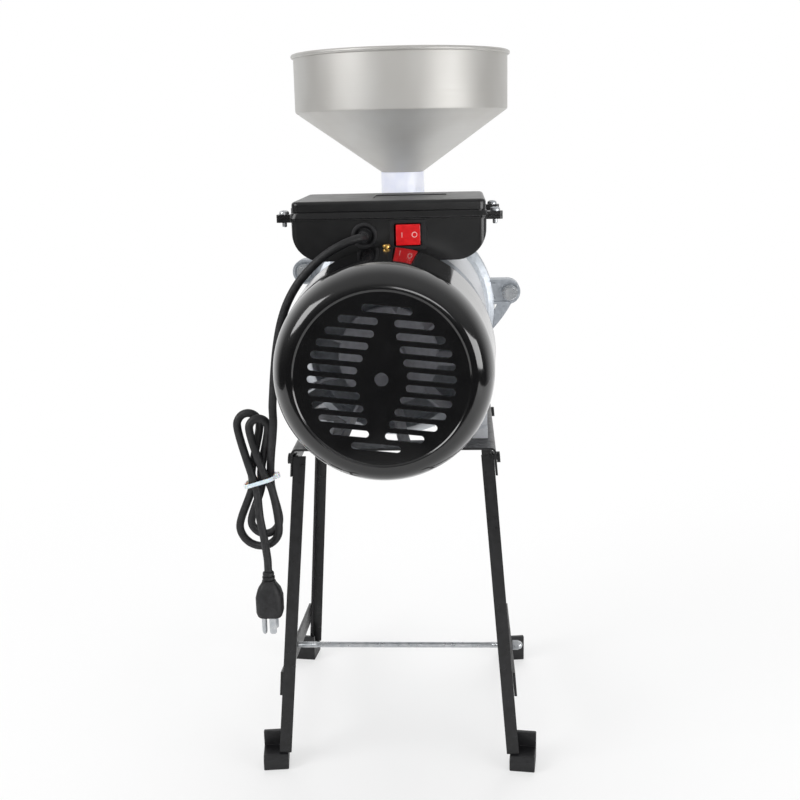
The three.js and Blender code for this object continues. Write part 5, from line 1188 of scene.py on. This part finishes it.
# %% The adjusting knob
KNOB_NEAR, KNOB_FAR, GRIP_NEAR, GRIP_FAR, KNOB_R, KNOB_WAY, LOBES = 476, 500, 480, 492.8, 19, 6.3, 6
knob = turned("lobed_adjusting_knob", [
    (KNOB_WAY, KNOB_NEAR), (12.2, KNOB_NEAR), (13, 476.8), (13, GRIP_NEAR), (KNOB_R, GRIP_NEAR),
    (KNOB_R, GRIP_FAR), (13, 496), (13, 499.2), (12.2, KNOB_FAR), (KNOB_WAY, KNOB_FAR),
    (KNOB_WAY, KNOB_NEAR),
], sides=96)
lobe_profile = [(0, GRIP_NEAR), (7, GRIP_NEAR), (8, GRIP_NEAR + 1), (8, GRIP_FAR - 1),
                (7, GRIP_FAR), (0, GRIP_FAR)]
for middle in ring_of(LOBES, KNOB_R, 0, 0):
    weld(knob, turned("lobe", lobe_profile, "Y", middle, 32))
carve(knob, rod("knob_way", KNOB_WAY, "Y", 470, 510))
finish(knob, "adjuster", "gloss_black_plastic", moulded, "adjusting_knob", edge=0.8)
screw = thread("adjusting_screw_thread", "Y", 435.3, 496, 0, 0, 6)
finish(screw, "adjuster", "zinc", zinc, "adjusting_screw")
lock = hex_head("lock_nut_hexagon", "Y", 458.3, 464.3, 0, 0, 11)
carve(lock, rod("lock_way", KNOB_WAY, "Y", 450, 470))
finish(lock, "mill_cover", "zinc", zinc, "lock_nut", edge=0.2)

# %% [markdown]
# ## Hopper and feed tube
# The hopper is one spun wall: a short spigot that drops into the white tube, a wide cone, an
# upright band and a rim rolled outwards round itself. A Solidify modifier would pinch where the
# rim rolls back, so the profile is drawn with both sides of the wall.

# %% The hopper
SPIGOT_R, SPIGOT_LOW, NECK_Z, BAND_Z, RIM_Z = 20.3, 121.6, 143.6, 208.3, 266
ROLL_R, ROLL_MIDDLE, ROLL_STEPS, WALL = 2.3, 115.4, 12, 1.4
roll_angles = [math.radians(-100 + 270 * i / ROLL_STEPS) for i in range(ROLL_STEPS + 1)]
hopper_profile = [
    (SPIGOT_R, SPIGOT_LOW), (SPIGOT_R, NECK_Z + 0.3), (23.3, NECK_Z + 0.3), (113.4, BAND_Z - 1.2),
    (114.5, BAND_Z - 0.2), (115, BAND_Z + 1.2),
    *[(ROLL_MIDDLE + ROLL_R * math.cos(a), RIM_Z + ROLL_R * math.sin(a)) for a in roll_angles],
    (115 - WALL, 262), (115 - WALL, BAND_Z + 1.4), (113, BAND_Z + 0.6),
    (SPIGOT_R - WALL, NECK_Z + 1.7), (SPIGOT_R - WALL, SPIGOT_LOW), (SPIGOT_R, SPIGOT_LOW),
]
hopper = turned("spun_hopper", hopper_profile, "Z", (0, FEED_Y), 192)
finish(hopper, "hopper", "stainless", stainless, "hopper", smooth=24)
tube = turned("white_feed_tube", [
    (20.6, 96.3), (23.2, 96.3), (23.6, 96.7), (23.6, 143.2), (23.3, NECK_Z), (20.6, NECK_Z),
    (20.6, 96.3),
], "Z", (0, FEED_Y), 96)
finish(tube, "mill_cover", "white_plastic", tube_white, "feed_tube")
gate = node_copy("folded_feed_gate", "feed_gate")
finish(gate, "gate", "stainless", stainless, "feed_gate", edge=0.4)

# %% [markdown]
# ## Switch box
# The box is a deep moulded tray saddled over the motor, with round lower corners and lugs for
# the lid's screws. A bevel fails where wide and narrow rounds meet, so the block is rounded
# below and then cut to a plan that is rounded at its uprights. Its room is the same block, less
# the wall, with the motor's saddle taken out.

# %% The box
BOX_X, BOX_NEAR, BOX_FAR, BOX_LOW, BOX_RIM, BOX_WALL = 85.2, 132, 256, 77.2, 113.9, 2.6
LOWER_R, UPRIGHT_R, SADDLE_ROOM, SHIELD_SLOPE = 27, 6.5, 0.3, 0.3585
LUG_X, LUG_WAY, LUG_YS = 93, 2.5, ((150, "near"), (238, "far"))
RIM_PLAN = rectangle(-86.6, 86.6, 131.1, 256.9)


def box_block(name, inset, top):
    """The box's outer form, or with an inset its room: rounded below and at its uprights."""
    x, near, far, low = BOX_X - inset, BOX_NEAR + inset, BOX_FAR - inset, BOX_LOW + inset
    block = plate(name, rectangle(-x, x, low, top), "Y", near, far)
    round_off(block, LOWER_R - inset, 12, lambda p, d: abs(d.y) > 0.9 and p.z < low + 1)
    plan = plate("plan", rectangle(-x, x, near, far), "Z", 70, 120, UPRIGHT_R - inset, 6)
    return carve(block, plan, operation="INTERSECT")


def saddle(name, room):
    """The motor's room under the box: a cone over the end shield, then the shell's round."""
    near, far, radius = BOX_NEAR - 2, BOX_FAR + 2, SHELL_R + room
    return turned(name, [
        (0, near), (radius - SHIELD_SLOPE * (SHELL_NEAR - near), near), (radius, SHELL_NEAR),
        (radius, far), (0, far),
    ], sides=128)


LUG_PLACES = [(side, y, f"{end}_{hand}") for side, hand in ((-1, "left"), (1, "right"))
              for y, end in LUG_YS]


def lug(side, y, low, high):
    x0, x1 = sorted((side * 84, side * 99.6))
    piece = plate("lug", rectangle(x0, x1, y - 6, y + 6), "Z", low, high, 3, 4)
    return carve(piece, rod("lug_way", LUG_WAY, "Z", low - 2, high + 2, side * LUG_X, y, 24))


box = box_block("moulded_switch_box", 0, BOX_RIM)
weld(box, plate("box_rim", RIM_PLAN, "Z", 112.7, BOX_RIM, 7, 6))
for side, y, _ in LUG_PLACES:
    weld(box, lug(side, y, 110.7, BOX_RIM))
room = box_block("box_room", BOX_WALL, BOX_RIM + 2)
carve(room, saddle("saddle_wall", SADDLE_ROOM + BOX_WALL))
carve(box, room, saddle("saddle_room", SADDLE_ROOM),
      plate("switch_way", rectangle(3.2, 30.8, 88.65, 110.75), "Y", 130, 136.6),
      rod("cord_way", 8.3, "Y", 130, 136.6, GROMMET_X, GROMMET_Z, 32))
finish(box, "stand", "gloss_black_plastic", moulded, "switch_box", edge=0.5)

# %% [markdown]
# The lid has a band that leans in, a groove, a rounded crown and a sunk panel. It is pulled up
# level by level from its rim, because stacked plates would leave seams. Then the crown's edge is
# bevelled, and the hollow and the panel are carved.

# %% The lid
LID_LOW, LID_TOP = 114.2, 129.1
LID_LEVELS = [(3.8, 0.984), (0.001, 0.984), (0.7, 1), (0.5, 1.01), (LID_TOP - LID_LOW - 6.201, 1)]
lid = plate("moulded_box_lid", RIM_PLAN, "Z", LID_LOW, LID_LOW + 1.2, 7, 8)
loft(lid, lambda p, n: n.z > 0.9, LID_LEVELS, spot(0, (BOX_NEAR + BOX_FAR) / 2, 0))
round_off(lid, 3, 6, lambda p, d: p.z > LID_TOP - 0.1 and abs(d.z) < 0.1)
for side, y, _ in LUG_PLACES:
    weld(lid, lug(side, y, LID_LOW, LID_LOW + 3.2))
lid_hollow, lid_panel = rectangle(-81, 81, 136.7, 251.3), rectangle(-16, 50, 168, 220)
carve(lid, plate("lid_hollow", lid_hollow, "Z", LID_LOW - 2, LID_TOP - 2.4, 6, 5),
      plate("lid_panel", lid_panel, "Z", LID_TOP - 0.8, LID_TOP + 2, 4, 5))
finish(lid, "stand", "gloss_black_plastic", moulded, "box_lid", edge=0.3)

# %% [markdown]
# Four bright pan-head screws catch the light on the lugs. Seen this close, a plain button would
# look like a rivet, so each has a domed head with a cross that two thin plates cut into it.

# %% Lid screws
for side, y, where in LUG_PLACES:
    x, low = side * LUG_X, LID_LOW + 3.5
    pan = turned("lid_screw", [
        (0, 106.5), (1.6, 106.5), (2.1, 107.3), (2.1, low), (4.4, low), (4.4, low + 1.3),
        (4, low + 2.4), (3, low + 3.1), (1.5, low + 3.4), (0, low + 3.4),
    ], "Z", (x, y), 32)
    cross = [plate("cross", rectangle(x - a, x + a, y - b, y + b), "Z", low + 1.9, low + 5)
             for a, b in ((2.5, 0.45), (0.45, 2.5))]
    carve(pan, *cross)
    pan.name = f"pan_head_screw_{where}"
    finish(pan, "stand", "zinc", zinc, f"lid_screw_{where}", edge=0.12)

# %% [markdown]
# ## Rocker switch
# The bezel is a frame with a soft outer edge. The rocker's face is a shallow V: its left half
# stands proud and its right half is pressed in. The line and ring on it are inlaid in white, as
# on any mains switch. They are thin pieces of their own, so they lean with the face.

# %% The switch
SWITCH_X, SWITCH_Z, BEZEL_FACE = 17, 99.7, 129.3
bezel = plate("switch_bezel_frame", rectangle(1, 33, 87, 112.4), "Y", BEZEL_FACE, 131.7, 1.2, 3)
weld(bezel, plate("switch_body", rectangle(3.5, 30.5, 88.95, 110.45), "Y", 130.7, 151.7))
carve(bezel, plate("rocker_room", rectangle(5.3, 28.7, 90, 109.4), "Y", 125, 143.7))
finish(bezel, "stand", "satin_black_plastic", satin, "switch_bezel", edge=0.5)
PIVOT_Y, FACE_POINTS = 130.5, 5
ROCKER = [(SWITCH_X + x, PIVOT_Y + y) for x, y in (
    (-10.23, -4.6), (-5.2, -3.2), (0, -2.4), (5.5, -1.3), (11, -0.5), (9.46, 3.5), (0, 7),
    (-9.46, 3.5))]
rocker = plate("red_switch_rocker", ROCKER, "Z", SWITCH_Z - 9, SWITCH_Z + 9)
finish(rocker, "rocker", "rocker_red", rocker_red, "switch_rocker", edge=0.6)


def rocker_face(x):
    """How far the rocker's face stands out at x."""
    for (x0, y0), (x1, y1) in zip(ROCKER, ROCKER[1:FACE_POINTS]):
        if x0 <= x <= x1:
            return y0 + (y1 - y0) * (x - x0) / (x1 - x0)
    return ROCKER[FACE_POINTS - 1][1]


def inlay(name, x, piece):
    """Leans a flat mark onto the rocker's face at x."""
    slope = math.degrees(math.atan2(rocker_face(x + 2) - rocker_face(x - 2), 4))
    turn_about(piece, (x, 0, SWITCH_Z), slope, "Z", onto=(x, rocker_face(x), SWITCH_Z))
    piece.name = name
    finish(piece, "rocker", None, mark_white)


LINE_X, RING_X, INLAY_LOW, INLAY_HIGH = 12, 22.8, -0.08, 0.4
line_plan = rectangle(LINE_X - 0.18, LINE_X + 0.18, SWITCH_Z - 2.2, SWITCH_Z + 2.2)
inlay("rocker_mark_on", LINE_X, plate("line", line_plan, "Y", INLAY_LOW, INLAY_HIGH))
ring_profile = [(1.95, INLAY_LOW), (2.35, INLAY_LOW), (2.35, INLAY_HIGH), (1.95, INLAY_HIGH),
                (1.95, INLAY_LOW)]
inlay("rocker_mark_off", RING_X, turned("ring", ring_profile, "Y", (RING_X, SWITCH_Z), 32))

# %% [markdown]
# ## Stand
# The stand is folded and cut from sheet steel: a tray under the motor, four angle legs that
# splay outwards and two side rails, on moulded feet. Their solids already have every fold and
# lean, and building those again could only lose them. So each piece starts from a copy of its
# node, and its sharp edges are eased.

# %% The stand's steel
tray = node_copy("folded_base_tray", "base_tray")
finish(tray, "stand", "black_steel", stand_paint, "base_tray", edge=0.35)
for end in ("near", "far"):
    for hand in ("left", "right"):
        leg = node_copy(f"angle_leg_{end}_{hand}", f"leg_{end}_{hand}")
        finish(leg, "stand", "black_steel", stand_paint, f"leg_{end}_{hand}", edge=0.3)
        foot = node_copy(f"moulded_foot_{end}_{hand}", f"foot_{end}_{hand}")
        finish(foot, "stand", "satin_black_plastic", satin, f"foot_{end}_{hand}", edge=0.9)
for hand in ("left", "right"):
    rail = node_copy(f"flat_side_rail_{hand}", f"side_rail_{hand}")
    finish(rail, "stand", "black_steel", stand_paint, f"side_rail_{hand}", edge=0.4)

# %% [markdown]
# A round rod with domed nuts ties the side rails together, and it is threaded only at its ends.
# The bar and its two threads are drawn along y, where the helpers work, and then turned across.

# %% The tie rod
rod_low, rod_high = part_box("tie_rod")
rod_middle = on_machine((rod_low + rod_high) / 2)
half_rod = (rod_high.x - rod_low.x) / MM / 2
ROD_THREAD = 28
bare_half = half_rod - ROD_THREAD
tie_rod = rod("threaded_tie_rod", 2.85, "Y", -bare_half, bare_half, sides=24)
for low in (-half_rod, bare_half - 1):
    weld(tie_rod, thread("rod_thread", "Y", low, low + ROD_THREAD + 1, 0, 0, 3.1, 1.3))
turn_about(tie_rod, (0, 0, 0), 90, "Z", onto=(0, rod_middle.y, rod_middle.z))
finish(tie_rod, "stand", "zinc", zinc, "tie_rod")
for hand in ("left", "right"):
    dome = node_copy(f"domed_rod_nut_{hand}", f"rod_nut_{hand}")
    finish(dome, "stand", "zinc", zinc, f"rod_nut_{hand}", edge=0.15)

# %% [markdown]
# What is inside the machine keeps its solids, which already have their shape, and only takes
# its finish: turned shaft, stacked laminations, copper windings, bearings and iron burrs.

# %% Inner pieces
INNER = {
    "main_shaft": steel, "rotor_core": laminations, "stator_core": laminations,
    "winding_rear": copper, "winding_front": copper, "bearing_rear": zinc, "bearing_front": zinc,
    "fixed_burr": iron, "rotating_burr": iron, "feed_auger": iron, "thrust_pad": steel,
    "capacitor": nylon,
}
for node_name, look in INNER.items():
    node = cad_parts[node_name]
    node.data.materials.clear()
    node.data.materials.append(look)
left_over = [n for n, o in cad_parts.items() if not o.hide_render and n not in INNER]
print("inner pieces", len(INNER), "left over", left_over)
